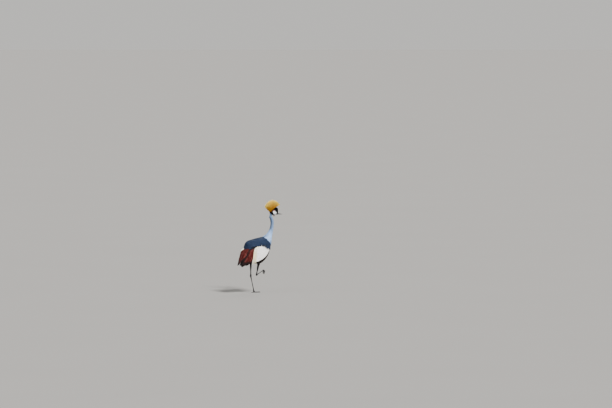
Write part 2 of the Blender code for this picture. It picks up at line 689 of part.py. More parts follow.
def curled_toe_rows(start, turn, length, radius):
    """Points of a curled toe hanging from the raised foot, and of its claw."""
    ahead = (FOOT_BALL_RIGHT - Vector(SHANK_RIGHT[-2][0])).normalized()
    across = Vector((0.0, 0.0, 1.0)).cross(ahead).normalized()
    a = math.radians(turn * 0.55)
    outward = ahead * math.cos(a) + across * math.sin(a)
    down = ahead.cross(across).normalized() * -1.0
    if down.z > 0.0:
        down *= -1.0
    reach = length * CURL_REACH
    rows, claw = [], []
    for t in (0.0, 0.25, 0.50, 0.75, 1.0):
        bend = t * math.radians(150.0)
        forward, fall = math.sin(bend) * reach * 0.62, (1.0 - math.cos(bend)) * reach * 0.50
        rows.append((tuple(start + outward * forward + down * fall), radius * (1.0 - 0.30 * t)))
    last, before = Vector(rows[-1][0]), Vector(rows[-2][0])
    onward = (last - before).normalized()
    for t in (0.0, 0.35, 0.70, 1.0):
        point = last + onward * (GAP + CLAW_LENGTH * t) - outward * (0.002 * t * t)
        claw.append((tuple(point), CLAW_RADIUS * (1.0 - t) + 0.0004))
    return rows, claw


def foot_left():
    start = FOOT_BALL_LEFT
    stub = limb([SHANK_LEFT[-1], (start, 0.0080)], steps=1)
    toes = [toe_on_floor(start, turn, length, radius) for _, turn, length, radius in TOES]
    pad = ball(Vector((start.x, start.y, 0.0105)), (0.0125, 0.0115, 0.0125))
    return cut(joined(stub, pad, *toes), slab_below_floor())


def slab_below_floor():
    work = bmesh.new()
    bmesh.ops.create_cube(work, size=1.0, matrix=Matrix.Translation((0.0, 0.0, -0.5)))
    mesh = bpy.data.meshes.new("below_floor")
    work.to_mesh(mesh)
    work.free()
    return mesh


def foot_right():
    start = FOOT_BALL_RIGHT
    stub = limb([SHANK_RIGHT[-1], (start, 0.0080)], steps=1)
    knob = ball(start, (0.0115, 0.0115, 0.0110))
    toes = []
    for _, turn, length, radius in TOES[:3]:
        toes.append(limb(curled_toe_rows(start, turn, length, radius)[0], sides=6))
    hind = hind_rows_right()[0]
    return joined(stub, knob, *toes, limb(hind, sides=6))


def hind_rows_right():
    """The raised foot's hind toe, which hangs behind the ball."""
    _, _, length, radius = TOES[3]
    ahead = (FOOT_BALL_RIGHT - Vector(SHANK_RIGHT[-2][0])).normalized()
    down = Vector((0.0, 0.0, -1.0))
    points = [FOOT_BALL_RIGHT, FOOT_BALL_RIGHT + down * 0.45 * length - ahead * 0.30 * length,
              FOOT_BALL_RIGHT + down * 0.95 * length - ahead * 0.35 * length]
    rows = [(tuple(p), radius * (1.0 - 0.15 * k)) for k, p in enumerate(points)]
    onward = (points[2] - points[1]).normalized()
    claw = []
    for t in (0.0, 0.35, 0.70, 1.0):
        point = points[2] + onward * (GAP + CLAW_LENGTH * 0.8 * t) + ahead * (0.002 * t * t)
        claw.append((tuple(point), CLAW_RADIUS * 0.9 * (1.0 - t) + 0.0004))
    return rows, claw


def legs():
    parts = []
    for side, thigh, shank, foot in (("left", THIGH_LEFT, SHANK_LEFT, foot_left()),
                                     ("right", THIGH_RIGHT, SHANK_RIGHT, foot_right())):
        shin = limb(shank, GROW)
        parts.append((f"tibia_{side}", cut(limb(thigh), shin), "leg_scales"))
        parts.append((f"tarsus_{side}", limb(shank), "leg_scales"))
        parts.append((f"foot_{side}", cut(foot, limb(shank, GROW)), "leg_scales"))
    for toe, turn, length, radius in TOES:
        claw = claw_on_floor(FOOT_BALL_LEFT, turn, length, radius)
        parts.append((f"claw_left_{toe}", claw, "claw_horn"))
        rows = curled_toe_rows(FOOT_BALL_RIGHT, turn, length, radius)[1]
        if toe == "hind":
            rows = hind_rows_right()[1]
        parts.append((f"claw_right_{toe}", limb(rows, sides=6, steps=1), "claw_horn"))
    return parts


# The whole bird
clear_scene()
crane = new_collection("grey_crowned_crane")

torso = cut(body_length(TORSO_PLACES), limb(THIGH_LEFT, GROW), limb(THIGH_RIGHT, GROW))
pieces = [("torso", torso, "slate_feathers"),
          ("neck_lower", body_length(NECK_PLACES), "neck_feathers"),
          ("neck_upper", body_length(NAPE_PLACES), "neck_feathers"),
          ("tail", tail(), "tail_feathers")]
pieces += wings() + legs()
for name, mesh, material in pieces:
    add_object(name, mesh, material)
for name, mesh, material in head_parts():
    mesh.transform(head_place())
    add_object(name, mesh, material)
for node in crane.objects:
    node.data.transform(Matrix.Translation(-CENTRE))
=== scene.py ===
import math

import bmesh
import bpy
import numpy as np
from mathutils import Matrix, Vector, kdtree
from mathutils.bvhtree import BVHTree


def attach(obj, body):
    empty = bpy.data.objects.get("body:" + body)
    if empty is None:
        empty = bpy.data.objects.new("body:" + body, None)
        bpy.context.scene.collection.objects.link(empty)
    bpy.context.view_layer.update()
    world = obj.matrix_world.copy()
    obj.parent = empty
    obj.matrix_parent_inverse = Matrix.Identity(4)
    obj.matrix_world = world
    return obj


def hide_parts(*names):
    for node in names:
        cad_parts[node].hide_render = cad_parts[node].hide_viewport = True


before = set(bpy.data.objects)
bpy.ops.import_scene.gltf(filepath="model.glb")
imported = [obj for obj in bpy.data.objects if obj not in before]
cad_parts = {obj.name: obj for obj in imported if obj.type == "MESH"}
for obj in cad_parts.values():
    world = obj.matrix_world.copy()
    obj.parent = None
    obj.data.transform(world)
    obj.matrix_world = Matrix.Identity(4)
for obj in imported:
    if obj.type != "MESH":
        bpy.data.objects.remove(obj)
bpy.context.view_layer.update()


# Floor, light and camera
# A plain pale studio floor and large soft lamps. The camera stands far off with a long lens,
# behind the bird's right side and a little above it, as the photograph was taken.
PIXEL = 0.0115                                  # metres to a pixel of the photograph at the bird
FRAME_PIXELS, LENS, SENSOR = 612, 200.0, 36.0
VIEW_TURN, VIEW_RISE = math.radians(-45.0), math.radians(3.0)
FOOT_PIXEL, FRAME_MIDDLE = (250.7, 293.0), (306.0, 204.0)      # standing ankle, frame centre
ORIGIN_SHIFT = Vector((-0.1079, 0.0, 0.0))      # from the bird's own working place to the frame


def outward(turn, rise):
    """The direction from the bird to a place round it, by a turn and a rise."""
    return Vector((math.sin(turn) * math.cos(rise), -math.cos(turn) * math.cos(rise), math.sin(rise)))


def put(name, data, backward):
    """A camera or lamp in the scene, looking against a direction."""
    made = bpy.data.objects.new(name, data)
    made.rotation_mode = "QUATERNION"
    made.rotation_quaternion = (-backward).to_track_quat("-Z", "Y")
    bpy.context.scene.collection.objects.link(made)
    return made


def fill(tree, socket, value):
    """Link a socket to the one that feeds it, or set its value."""
    if isinstance(value, bpy.types.NodeSocket):
        tree.links.new(value, socket)
    else:
        socket.default_value = value


def wire(tree, made, **values):
    """Set a node's properties, and its inputs where the name is a socket's."""
    for key, value in values.items():
        if hasattr(made, key):
            setattr(made, key, value)
        else:
            fill(tree, made.inputs[key.replace("_", " ")], value)
    return made


def node(tree, kind, **values):
    """A new node, to the right of those before it."""
    made = tree.nodes.new(kind)
    made.location = (180.0 * len(tree.nodes), 0.0)
    return wire(tree, made, **values)


def noise(tree, **values):
    """Noise over the object's own coordinates; gives its output."""
    place = node(tree, "ShaderNodeTexCoord").outputs["Object"]
    return node(tree, "ShaderNodeTexNoise", Vector=place, **values).outputs["Fac"]


def new_material(name, roughness=0.6, specular=0.5, **values):
    material = bpy.data.materials.new(name)
    material.use_nodes = True
    tree = material.node_tree
    shader = wire(tree, tree.nodes["Principled BSDF"], Roughness=roughness,
                  Specular_IOR_Level=specular, **values)
    return material, tree, shader


backward = outward(VIEW_TURN, VIEW_RISE)
ankle = Vector((0.0, 0.015, 0.0)) + ORIGIN_SHIFT
to_the_right = Vector((math.cos(VIEW_TURN), math.sin(VIEW_TURN), 0.0))
aim = ankle + to_the_right * ((FRAME_MIDDLE[0] - FOOT_PIXEL[0]) * PIXEL)
aim.z = (FOOT_PIXEL[1] - FRAME_MIDDLE[1]) * PIXEL
camera = put("camera", bpy.data.cameras.new("camera"), backward)
camera.data.lens, camera.data.sensor_width = LENS, SENSOR
camera.data.clip_start, camera.data.clip_end = 1.0, 2000.0
camera.location = aim + backward * (FRAME_PIXELS * PIXEL * LENS / SENSOR)
bpy.context.scene.camera = camera

floor_material, tree, shader = new_material("floor", 0.9, 0.0)
tone = node(tree, "ShaderNodeValToRGB", Fac=noise(tree, Scale=0.6, Detail=3.0))
tone.color_ramp.elements[0].color = (0.2165, 0.2130, 0.2070, 1.0)
tone.color_ramp.elements[1].color = (0.2255, 0.2215, 0.2155, 1.0)
wire(tree, shader, Base_Color=tone.outputs["Color"])
work = bmesh.new()
bmesh.ops.create_circle(work, cap_ends=True, segments=64, radius=400.0)
floor_mesh = bpy.data.meshes.new("floor")
work.to_mesh(floor_mesh)
work.free()
floor_mesh.materials.append(floor_material)
floor = bpy.data.objects.new("floor", floor_mesh)
bpy.context.scene.collection.objects.link(floor)

# Each lamp: name, place round the bird (turn from behind the camera, rise), softness, power, colour
for name, turn, rise, size, power, colour in (
        ("key", 42.0, 48.0, 14.0, 7.8, (1.0, 0.975, 0.94)),
        ("fill", -60.0, 30.0, 50.0, 1.3, (0.93, 0.96, 1.0)),
        ("rim", 165.0, 40.0, 30.0, 1.3, (1.0, 0.99, 0.97))):
    lamp = put(name, bpy.data.lights.new(name, "SUN"),
               outward(VIEW_TURN + math.radians(turn), math.radians(rise)))
    lamp.data.angle, lamp.data.energy, lamp.data.color = math.radians(size), power, colour
world = bpy.data.worlds.new("studio")
world.use_nodes = True
wire(world.node_tree, world.node_tree.nodes["Background"], Color=(0.83, 0.815, 0.785, 1.0), Strength=0.80)
bpy.context.scene.world = world


# Skin
# One skin from the crown to the toes, over the flesh of the torso, neck, head, arms of the wings,
# root of the tail and legs. It lies under the plumage by its depth, is bare and white on the
# cheeks, bare and black below the thighs, and has the small scales of a crane's legs in its mesh.
BODY_PROFILE = np.array([       # rump to nape: top x, z, bottom x, z, half width
    (-0.098, 0.505, -0.098, 0.487, 0.010), (-0.087, 0.531, -0.091, 0.466, 0.033),
    (-0.062, 0.560, -0.076, 0.441, 0.053), (-0.024, 0.586, -0.044, 0.416, 0.070),
    (0.030, 0.603, 0.008, 0.401, 0.082), (0.090, 0.613, 0.075, 0.395, 0.088),
    (0.145, 0.620, 0.150, 0.405, 0.087), (0.186, 0.627, 0.214, 0.438, 0.080),
    (0.215, 0.638, 0.262, 0.490, 0.069), (0.234, 0.652, 0.288, 0.550, 0.056),
    (0.249, 0.668, 0.303, 0.604, 0.044), (0.264, 0.687, 0.320, 0.650, 0.034),
    (0.283, 0.711, 0.334, 0.693, 0.0265), (0.298, 0.744, 0.347, 0.734, 0.0225),
    (0.308, 0.784, 0.351, 0.782, 0.0200), (0.304, 0.819, 0.3475, 0.826, 0.0195),
    (0.295, 0.844, 0.3355, 0.857, 0.0185), (0.2875, 0.863, 0.3235, 0.877, 0.0170)])
NECK_END = 17.0
# Depth of the plumage over the skin, at places along that profile
COAT_DEPTH = [(0.0, 0.004), (3.0, 0.007), (9.0, 0.007), (11.5, 0.0050), (14.0, 0.0034), (17.0, 0.0026)]
ATLAS, HEAD_TURN = Vector((0.310, 0.0, 0.885)), math.radians(-35.0)
SKULL = np.array([              # forward, middle height, half width, half height
    (-0.013, 0.026, 0.006, 0.008), (-0.008, 0.028, 0.013, 0.019), (0.004, 0.033, 0.0190, 0.0290),
    (0.018, 0.037, 0.0222, 0.0350), (0.032, 0.039, 0.0235, 0.0385), (0.046, 0.041, 0.0228, 0.0385),
    (0.058, 0.042, 0.0200, 0.0360), (0.068, 0.041, 0.0160, 0.0320), (0.076, 0.040, 0.0118, 0.0260),
    (0.082, 0.038, 0.0072, 0.0180), (0.0855, 0.036, 0.0030, 0.0090)])
CUSHION_AT, CUSHION_SIZE = (0.056, 0.0, 0.062), (0.0290, 0.0205, 0.0285)
NAPE_AT, NAPE_RADIUS = (0.012, 0.0, 0.030), 0.0205
CHIN_AT, CHIN_SIZE = (0.051, 0.0, 0.0125), (0.0190, 0.0104, 0.0094)
EYE_AT, EYE_RADIUS = (0.050, 0.0176, 0.045), 0.0062
THIGH_LEFT = [(0.020, 0.033, 0.452, 0.026), (0.020, 0.035, 0.400, 0.0255),
              (0.017, 0.032, 0.350, 0.0175), (0.012, 0.027, 0.300, 0.0110),
              (0.007, 0.022, 0.255, 0.0068), (0.003, 0.0175, 0.212, 0.0072)]
SHANK_LEFT = [(0.003, 0.0175, 0.212, 0.0088), (0.000, 0.0150, 0.195, 0.0112),
              (0.003, 0.0150, 0.178, 0.0075), (0.014, 0.0150, 0.140, 0.0050),
              (0.030, 0.0150, 0.085, 0.0048), (0.044, 0.0150, 0.034, 0.0062)]
THIGH_RIGHT = [(0.076, -0.044, 0.452, 0.028), (0.071, -0.049, 0.390, 0.0265),
               (0.062, -0.050, 0.335, 0.0185), (0.050, -0.049, 0.288, 0.0115),
               (0.042, -0.0475, 0.250, 0.0070), (0.036, -0.046, 0.224, 0.0074)]
SHANK_RIGHT = [(0.036, -0.046, 0.224, 0.0088), (0.036, -0.0445, 0.208, 0.0112),
               (0.053, -0.0385, 0.212, 0.0075), (0.090, -0.0245, 0.2215, 0.0050),
               (0.145, -0.0035, 0.2350, 0.0048), (0.190, 0.0140, 0.2445, 0.0062)]
FOOT_BALL_LEFT, FOOT_BALL_RIGHT = Vector((0.050, 0.015, 0.0125)), Vector((0.207, 0.0205, 0.2480))
BARE_FROM = 2.25                # place along the thigh where the feathers end
WING_MIDDLE, WING_HALF_WIDTH = 0.055, 0.099
WING_FRONT, WING_REAR, WING_REAR_DROP = 0.215, 0.183, 0.082
WING_WAIST, WING_WAIST_SPAN = 0.048, 0.045
WING_BULGE, WING_ROUND, WING_WIDEST, WING_DROP_SPAN, WING_TUCK = 2.4, 2.2, 0.48, 0.17, 0.10
BACK_LINE = np.array([(-0.090, 0.555), (-0.070, 0.580), (-0.040, 0.597), (0.020, 0.607), (0.083, 0.618),
                      (0.200, 0.634), (0.280, 0.690)])
WING_ARM = np.array([           # angle in plan, lower edge, upper edge, thickness above, below
    (38.0, 0.495, 0.528, 0.016, 0.012), (46.0, 0.480, 0.558, 0.028, 0.014),
    (58.0, 0.460, 0.580, 0.033, 0.014), (72.0, 0.440, 0.587, 0.033, 0.013),
    (86.0, 0.425, 0.588, 0.033, 0.012), (100.0, 0.425, 0.586, 0.033, 0.012),
    (112.0, 0.430, 0.580, 0.033, 0.012), (124.0, 0.440, 0.572, 0.033, 0.012),
    (136.0, 0.450, 0.556, 0.028, 0.012), (146.0, 0.462, 0.537, 0.020, 0.012),
    (154.0, 0.478, 0.514, 0.012, 0.010)])
TAIL_ROOT, TAIL_TIP = Vector((-0.083, 0.0, 0.487)), Vector((-0.155, 0.0, 0.303))
TAIL_CORE = [(-0.020, 0.014, 0.0085), (0.020, 0.017, 0.0100), (0.055, 0.018, 0.0095),
             (0.082, 0.014, 0.0072)]
VOXEL, SKULL_INSET, CUSHION_INSET, TAIL_INSET = 0.0028, 0.0010, 0.0018, 0.001
THIGH_COAT, ARM_COAT = 0.0035, 0.0015          # depth of the plumage over thigh and wing
CHEEK_AT, CHEEK_SIZE = (0.0430, 0.0305), (0.0200, 0.0275)       # forward and up in the head's frame
BILL_START, MOUTH_BACK = 0.064, 0.0128
AHEAD, ACROSS, UPWARD = (1.0, 0.0, 0.0), (0.0, 1.0, 0.0), (0.0, 0.0, 1.0)
# The second colour is the belly's slate darkened to near black as painted shade
SLATE, BELLY_PAINTED_SHADE, NECK_GREY = (0.0090, 0.019, 0.046), (0.0060, 0.0070, 0.011), (0.205, 0.325, 0.560)
VELVET, CHEEK_WHITE, CHEEK_RED = (0.0040, 0.0035, 0.0035), (0.86, 0.89, 0.92), (0.30, 0.012, 0.012)
LEG_BLACK = (0.0085, 0.0088, 0.0110)

shift = np.array(ORIGIN_SHIFT)
head_place = Matrix.Translation(ATLAS + ORIGIN_SHIFT) @ Matrix.Rotation(HEAD_TURN, 4, "Z")
HEAD = np.array(head_place)
HEAD_BACK = np.array(head_place.inverted())


def unit(v):
    return v / np.maximum(np.linalg.norm(v, axis=-1, keepdims=True), 1e-9)


def placed(matrix, points):
    return points @ matrix[:3, :3].T + matrix[:3, 3]


def eased(rows, at):
    """Rows at places along them, eased from each to the next."""
    rows, at = np.asarray(rows, float), np.atleast_1d(np.asarray(at, float))
    last = len(rows) - 1
    step = np.clip(at.astype(int), 0, last - 1)
    t = (at - step)[:, None]
    before, start, end, after = (rows[np.clip(step + k, 0, last)] for k in (-1, 0, 1, 2))
    return ((-0.5 * t ** 3 + t * t - 0.5 * t) * before + (1.5 * t ** 3 - 2.5 * t * t + 1.0) * start
            + (-1.5 * t ** 3 + 2.0 * t * t + 0.5 * t) * end + (0.5 * t ** 3 - 0.5 * t * t) * after)


def sampled(rows, count):
    """Rows at even places along all of them, eased from each to the next."""
    return eased(rows, np.linspace(0.0, len(rows) - 1.0, count))


def soft_step(low, high, value):
    t = np.clip((value - low) / (high - low), 0.0, 1.0)
    return t * t * (3.0 - 2.0 * t)


def mixed(first, second, share):
    """Colours a share of the way from the first to the second."""
    first = np.asarray(first)
    return first + (np.asarray(second) - first) * np.asarray(share)[..., None]


def rings(middle, across, up, half_width, half_height, sides):
    """Ovals round a line, as an array of rings of points."""
    a = 2.0 * np.pi * (np.arange(sides) + 0.5) / sides
    wide, high = (np.asarray(x, float).reshape(-1, 1, 1) for x in (half_width, half_height))
    return (middle[:, None] + across[:, None] * wide * np.cos(a)[None, :, None]
            + up[:, None] * high * np.sin(a)[None, :, None])


def body_rings(at, inset, sides):
    row = eased(BODY_PROFILE, at)
    blank = np.zeros(len(row))
    top, bottom = (np.stack((row[:, k], blank, row[:, k + 1]), 1) for k in (0, 2))
    half = (top - bottom) / 2.0
    across = np.tile(ACROSS, (len(row), 1))
    return rings((top + bottom) / 2.0 + shift, across, unit(half), row[:, 4] - inset,
                 np.linalg.norm(half, axis=1) - inset, sides)


def ball_rings(middle, sizes, count, sides):
    """A ball as rings along X, from its back to its front."""
    a = np.pi * (np.arange(count) + 0.5) / count
    blank = np.zeros(count)
    line = np.stack((middle[0] - sizes[0] * np.cos(a), blank + middle[1], blank + middle[2]), 1)
    across, up = (np.tile(v, (count, 1)) for v in (ACROSS, UPWARD))
    return rings(line, across, up, sizes[1] * np.sin(a), sizes[2] * np.sin(a), sides)


def tube_rings(rows, ahead, spacing, sides, grow=0.0):
    """Rings round a line of (x, y, z, radius). The first point of each ring looks ahead."""
    rows = np.asarray(rows, float)
    length = np.linalg.norm(np.diff(rows[:, :3], axis=0), axis=1).sum()
    line = sampled(rows, max(4, int(length / spacing)))
    along = unit(np.gradient(line[:, :3], axis=0))
    front = unit(ahead - (along @ ahead)[:, None] * along)
    a = 2.0 * np.pi * np.arange(sides) / sides
    out = (front[:, None] * np.cos(a)[None, :, None]
           + np.cross(along, front)[:, None] * np.sin(a)[None, :, None])
    walked = np.concatenate(([0.0], np.cumsum(np.linalg.norm(np.diff(line[:, :3], axis=0), axis=1))))
    return line[:, :3] + shift, out, line[:, 3] + grow, walked, a


def loft_faces(count, sides, offset=0):
    """Triangles of a closed loft whose points are its rings and then its two end middles."""
    i, k = np.meshgrid(np.arange(count - 1), np.arange(sides), indexing="ij")
    n = (k + 1) % sides
    a, b, c, d = i * sides + k, i * sides + n, (i + 1) * sides + n, (i + 1) * sides + k
    walls = np.concatenate((np.stack((a, b, c), -1).reshape(-1, 3), np.stack((a, c, d), -1).reshape(-1, 3)))
    k = np.arange(sides)
    n, first, last = (k + 1) % sides, np.full(sides, count * sides), np.full(sides, count * sides + 1)
    end = (count - 1) * sides
    return np.concatenate((walls, np.stack((n, k, first), 1), np.stack((end + k, end + n, last), 1))) + offset


def loft_points(grid):
    return np.concatenate((grid.reshape(-1, 3), [grid[0].mean(0), grid[-1].mean(0)]))


def lofted(grids):
    """Points and triangles of closed lofts, one after another."""
    points, faces, count = [], [], 0
    for grid in grids:
        points.append(loft_points(grid))
        faces.append(loft_faces(*grid.shape[:2], count))
        count += len(points[-1])
    return np.concatenate(points), np.concatenate(faces)


def move(mesh, points):
    mesh.vertices.foreach_set("co", np.asarray(points, np.float32).ravel())
    mesh.update()


def mesh_of(name, points, faces, tint=None, **maps):
    """A mesh from arrays, with a colour for each point and any UV maps by name."""
    mesh = bpy.data.meshes.new(name)
    points, faces = np.asarray(points, float).reshape(-1, 3), np.asarray(faces, np.int32)
    mesh.vertices.add(len(points))
    mesh.vertices.foreach_set("co", points.astype(np.float32).ravel())
    mesh.loops.add(faces.size)
    mesh.polygons.add(len(faces))
    mesh.polygons.foreach_set("loop_start", np.arange(0, faces.size, faces.shape[1], dtype=np.int32))
    mesh.polygons.foreach_set("vertices", faces.ravel())
    mesh.update(calc_edges=True)
    if tint is not None:
        paint(mesh, tint)
    for label, places in maps.items():
        layer = mesh.uv_layers.new(name=label)
        layer.data.foreach_set("uv", places.reshape(-1, 2)[faces.ravel()].astype(np.float32).ravel())
    mesh.shade_smooth()
    return mesh


def paint(mesh, tint):
    layer = mesh.color_attributes.new("tint", "FLOAT_COLOR", "POINT")
    colours = np.ones((len(mesh.vertices), 4), np.float32)
    colours[:, :3] = np.asarray(tint).reshape(-1, 3)
    layer.data.foreach_set("color", colours.ravel())


def add_piece(name, mesh, material, slot, *replaced):
    """Put a finished mesh on the bird's one body, in place of the frame's nodes."""
    if material:
        mesh.materials.clear()
        mesh.materials.append(material)
    piece = bpy.data.objects.new(name, mesh)
    bpy.context.scene.collection.objects.link(piece)
    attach(piece, "root")
    if replaced:
        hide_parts(*replaced)


def evaluated(mesh, *changes):
    """A mesh after modifiers, each given as its type and its values or its tree's inputs."""
    base = bpy.data.objects.new("work", mesh)
    bpy.context.scene.collection.objects.link(base)
    for kind, values in changes:
        change = base.modifiers.new(kind, kind)
        for key, value in values.items():
            if hasattr(change, key):
                setattr(change, key, value)
            else:
                change[key] = value
    bpy.context.view_layer.update()
    result = bpy.data.meshes.new_from_object(base.evaluated_get(bpy.context.evaluated_depsgraph_get()))
    base.modifiers.clear()
    bpy.data.objects.remove(base, do_unlink=True)
    return result


def places_of(mesh):
    points, normals = (np.zeros(len(mesh.vertices) * 3, np.float32) for _ in range(2))
    mesh.vertices.foreach_get("co", points)
    mesh.vertices.foreach_get("normal", normals)
    return points.reshape(-1, 3).astype(float), normals.reshape(-1, 3).astype(float)


def hull_x(angle, z):
    """How far forward the wings' hull is at an angle in plan, 0 ahead and 180 behind, and a height."""
    over = min(1.0, max(0.0, (z - WING_WIDEST) / WING_WAIST_SPAN))
    drop = max(0.0, (WING_WIDEST - z) / WING_DROP_SPAN)
    rear = WING_REAR + WING_REAR_DROP * drop - WING_WAIST * over * over * (3.0 - 2.0 * over)
    cosine = math.cos(math.radians(angle))
    reach = WING_FRONT if angle < 90.0 else rear
    return WING_MIDDLE + math.copysign(reach * abs(cosine) ** (2.0 / WING_BULGE), cosine)


def back_over(angle, z):
    return float(np.interp(hull_x(angle, z), BACK_LINE[:, 0], BACK_LINE[:, 1]))


def wing_spot(angle, rise, out=0.0):
    """A point on the left wing's hull, by its angle and its rise, 0 at the hull's widest, 1 on the
    bird's back and under 0 down towards the belly."""
    y = WING_HALF_WIDTH * abs(math.sin(math.radians(angle))) ** (2.0 / WING_BULGE)
    z = WING_WIDEST
    if rise > 0.0:
        turn = min(rise, 1.0) * math.pi / 2.0
        y *= max(0.0, math.cos(turn)) ** (2.0 / WING_ROUND)
        for _ in range(3):
            z = WING_WIDEST + (back_over(angle, z) - WING_WIDEST) * math.sin(turn) ** (2.0 / WING_ROUND)
    else:
        y *= 1.0 - WING_TUCK * rise * rise
        z += WING_DROP_SPAN * rise
    point = Vector((hull_x(angle, z), y, z))
    return point + wing_normal(angle, rise) * out if out else point


def wing_normal(angle, rise):
    along = wing_spot(angle + 1.0, rise) - wing_spot(angle - 1.0, rise)
    upward = wing_spot(angle, rise + 0.01) - wing_spot(angle, rise - 0.01)
    return along.cross(upward).normalized()


def wing_rise(angle, height):
    """The rise on the hull of a height in metres, or of a rise given as itself plus 1."""
    if height >= 1.0:
        return height - 1.0
    if height <= WING_WIDEST:
        return (height - WING_WIDEST) / WING_DROP_SPAN
    share = min(1.0, (height - WING_WIDEST) / (back_over(angle, height) - WING_WIDEST))
    return math.asin(share ** (WING_ROUND / 2.0)) * 2.0 / math.pi


# Each form of the flesh: its name, its rings, and whether the plumage runs up or down its rings
at = np.linspace(0.0, NECK_END, 150)
torso_rings = body_rings(at, np.interp(at, *zip(*COAT_DEPTH)), 64)
forms = [("body", torso_rings, -1)]

skull_row = sampled(SKULL, 56)
level = np.stack((skull_row[:, 0], np.zeros(len(skull_row)), skull_row[:, 1]), 1)
across, up = (np.tile(v, (len(level), 1)) for v in (ACROSS, UPWARD))
skull = rings(level, across, up, skull_row[:, 2] - SKULL_INSET, skull_row[:, 3] - SKULL_INSET, 56)
cushion = ball_rings(CUSHION_AT, np.array(CUSHION_SIZE) - CUSHION_INSET, 36, 48)
end = placed(HEAD_BACK, torso_rings[-1])
steps = np.linspace(0.0, 1.0, 14)[:, None, None]
growth = 1.0 + (NAPE_RADIUS / BODY_PROFILE[-1, 4] - 1.0) * steps
nape = end.mean(0) + (np.array(NAPE_AT) - end.mean(0)) * steps + (end - end.mean(0)) * growth
for name, grid in (("skull", skull), ("cushion", cushion),
                   ("skull", ball_rings(CHIN_AT, CHIN_SIZE, 24, 32)), ("nape", nape)):
    forms.append((name, placed(HEAD, grid), -1))

for side, thigh in ((1, THIGH_LEFT), (-1, THIGH_RIGHT)):
    rows = [(x, y, z, r - THIGH_COAT * min(1.0, r / 0.017)) for x, y, z, r in thigh]
    line, out, radius, _, _ = tube_rings(rows, np.array(AHEAD), 0.004, 32)
    forms.append(("thigh", line[:, None] + out * radius[:, None, None], 1))
    arm = []
    for angle, low, high, thick_high, thick_low in sampled(WING_ARM, 40):
        outer, inner = [], []
        for t in np.linspace(0.0, 1.0, 14):
            z = low + (high - low) * t
            thick = thick_low + (thick_high - thick_low) * min(1.0, max(0.0, (z - 0.43) / 0.05))
            outer.append(wing_spot(angle, wing_rise(angle, z), -ARM_COAT))
            inner.append(wing_spot(angle, wing_rise(angle, z), -thick))
        arm.append(outer + inner[::-1])
    arm = np.array([[tuple(p) for p in ring] for ring in arm]) * (1.0, side, 1.0) + shift
    forms.append(("arm", arm, 1))

tail_along = (TAIL_TIP - TAIL_ROOT).normalized()
tail_over = Vector(ACROSS).cross(tail_along)
tail_row = sampled(TAIL_CORE, 20)
tail_line = np.array(TAIL_ROOT) + tail_row[:, :1] * np.array(tail_along) + shift
across, over = (np.tile(np.array(v), (20, 1)) for v in (ACROSS, tail_over))
forms.append(("rump", rings(tail_line, across, over, *(tail_row[:, 1:] - TAIL_INSET).T, 24), 1))

flesh = mesh_of("flesh", *lofted(grid for _, grid, _ in forms))
flesh = evaluated(flesh, ("REMESH", {"mode": "VOXEL", "voxel_size": VOXEL, "adaptivity": 0.0}),
                  ("SMOOTH", {"factor": 0.5, "iterations": 6}))

# A finer mesh over the head, for its folds and the rims of its eyes
work = bmesh.new()
work.from_mesh(flesh)
head_back = head_place.inverted()


def head_vertices(back, low):
    """The skin's vertices ahead of a plane and above a level of the head's own frame."""
    return [v for v in work.verts if (head_back @ v.co).x > back and (head_back @ v.co).z > low]


for _ in range(2):
    inside = set(head_vertices(-0.030, -0.020))
    edges = [e for e in work.edges if e.verts[0] in inside and e.verts[1] in inside]
    bmesh.ops.subdivide_edges(work, edges=edges, cuts=1, use_grid_fill=True)
bmesh.ops.triangulate(work, faces=[f for f in work.faces if len(f.verts) > 4])
rounded = head_vertices(-0.026, -0.016)
for _ in range(5):
    bmesh.ops.smooth_vert(work, verts=rounded, factor=0.5, use_axis_x=True, use_axis_y=True,
                          use_axis_z=True)
work.to_mesh(flesh)
work.free()


def cheek_shape(spot):
    """1 inside the bare cheek and 0 outside, from places in the head's own frame."""
    up = spot[:, 2] - CHEEK_AT[1]
    ahead = spot[:, 0] - CHEEK_AT[0] + 0.20 * up
    around = np.sqrt((ahead / CHEEK_SIZE[0]) ** 2 + (up / CHEEK_SIZE[1]) ** 2)
    around += 0.025 * np.sin(9.0 * np.arctan2(up, ahead))
    around += 0.02 * np.sin(ahead * 1900.0 + spot[:, 2] * 1300.0)
    eye = np.hypot((spot[:, 0] - EYE_AT[0] - 0.004) / 1.25, spot[:, 2] - EYE_AT[2] - 0.002)
    aside = np.abs(spot[:, 1])
    return soft_step(1.06, 0.94, around) * soft_step(0.0095, 0.0110, eye) * soft_step(0.006, 0.009, aside)


# Folds of the face: a hollow round the eye, the corner of the mouth and fine creases on the cheek
points, normals = places_of(flesh)
spot = placed(HEAD_BACK, points)
eyes = np.tile(EYE_AT, (len(spot), 1))
eyes[:, 1] *= np.sign(spot[:, 1])
from_eye = np.linalg.norm(spot - eyes, axis=1)
hollow = 0.0011 * np.exp(-((from_eye - 0.0088) / 0.0016) ** 2)
mouth_line = spot[:, 2] - MOUTH_BACK - (BILL_START - spot[:, 0]) * 0.25
corner = 0.0009 * np.exp(-(mouth_line / 0.0013) ** 2) * soft_step(0.046, 0.054, spot[:, 0])
fold = np.hypot(spot[:, 0] - 0.075, spot[:, 2] - 0.055) / 0.0046
fold += 0.9 * np.sin(spot[:, 2] * 230.0 + spot[:, 0] * 190.0)
crease = 0.00008 * np.sin(2.0 * np.pi * fold)
crease *= 0.6 + 0.4 * np.sin(spot[:, 0] * 640.0 + spot[:, 2] * 410.0)
swell = cheek_shape(spot) * (0.0006 + crease)
on_head = soft_step(-0.016, -0.006, spot[:, 2]) * (spot[:, 0] > -0.03)
points += normals * (on_head * (swell - hollow - corner))[:, None]
move(flesh, points)


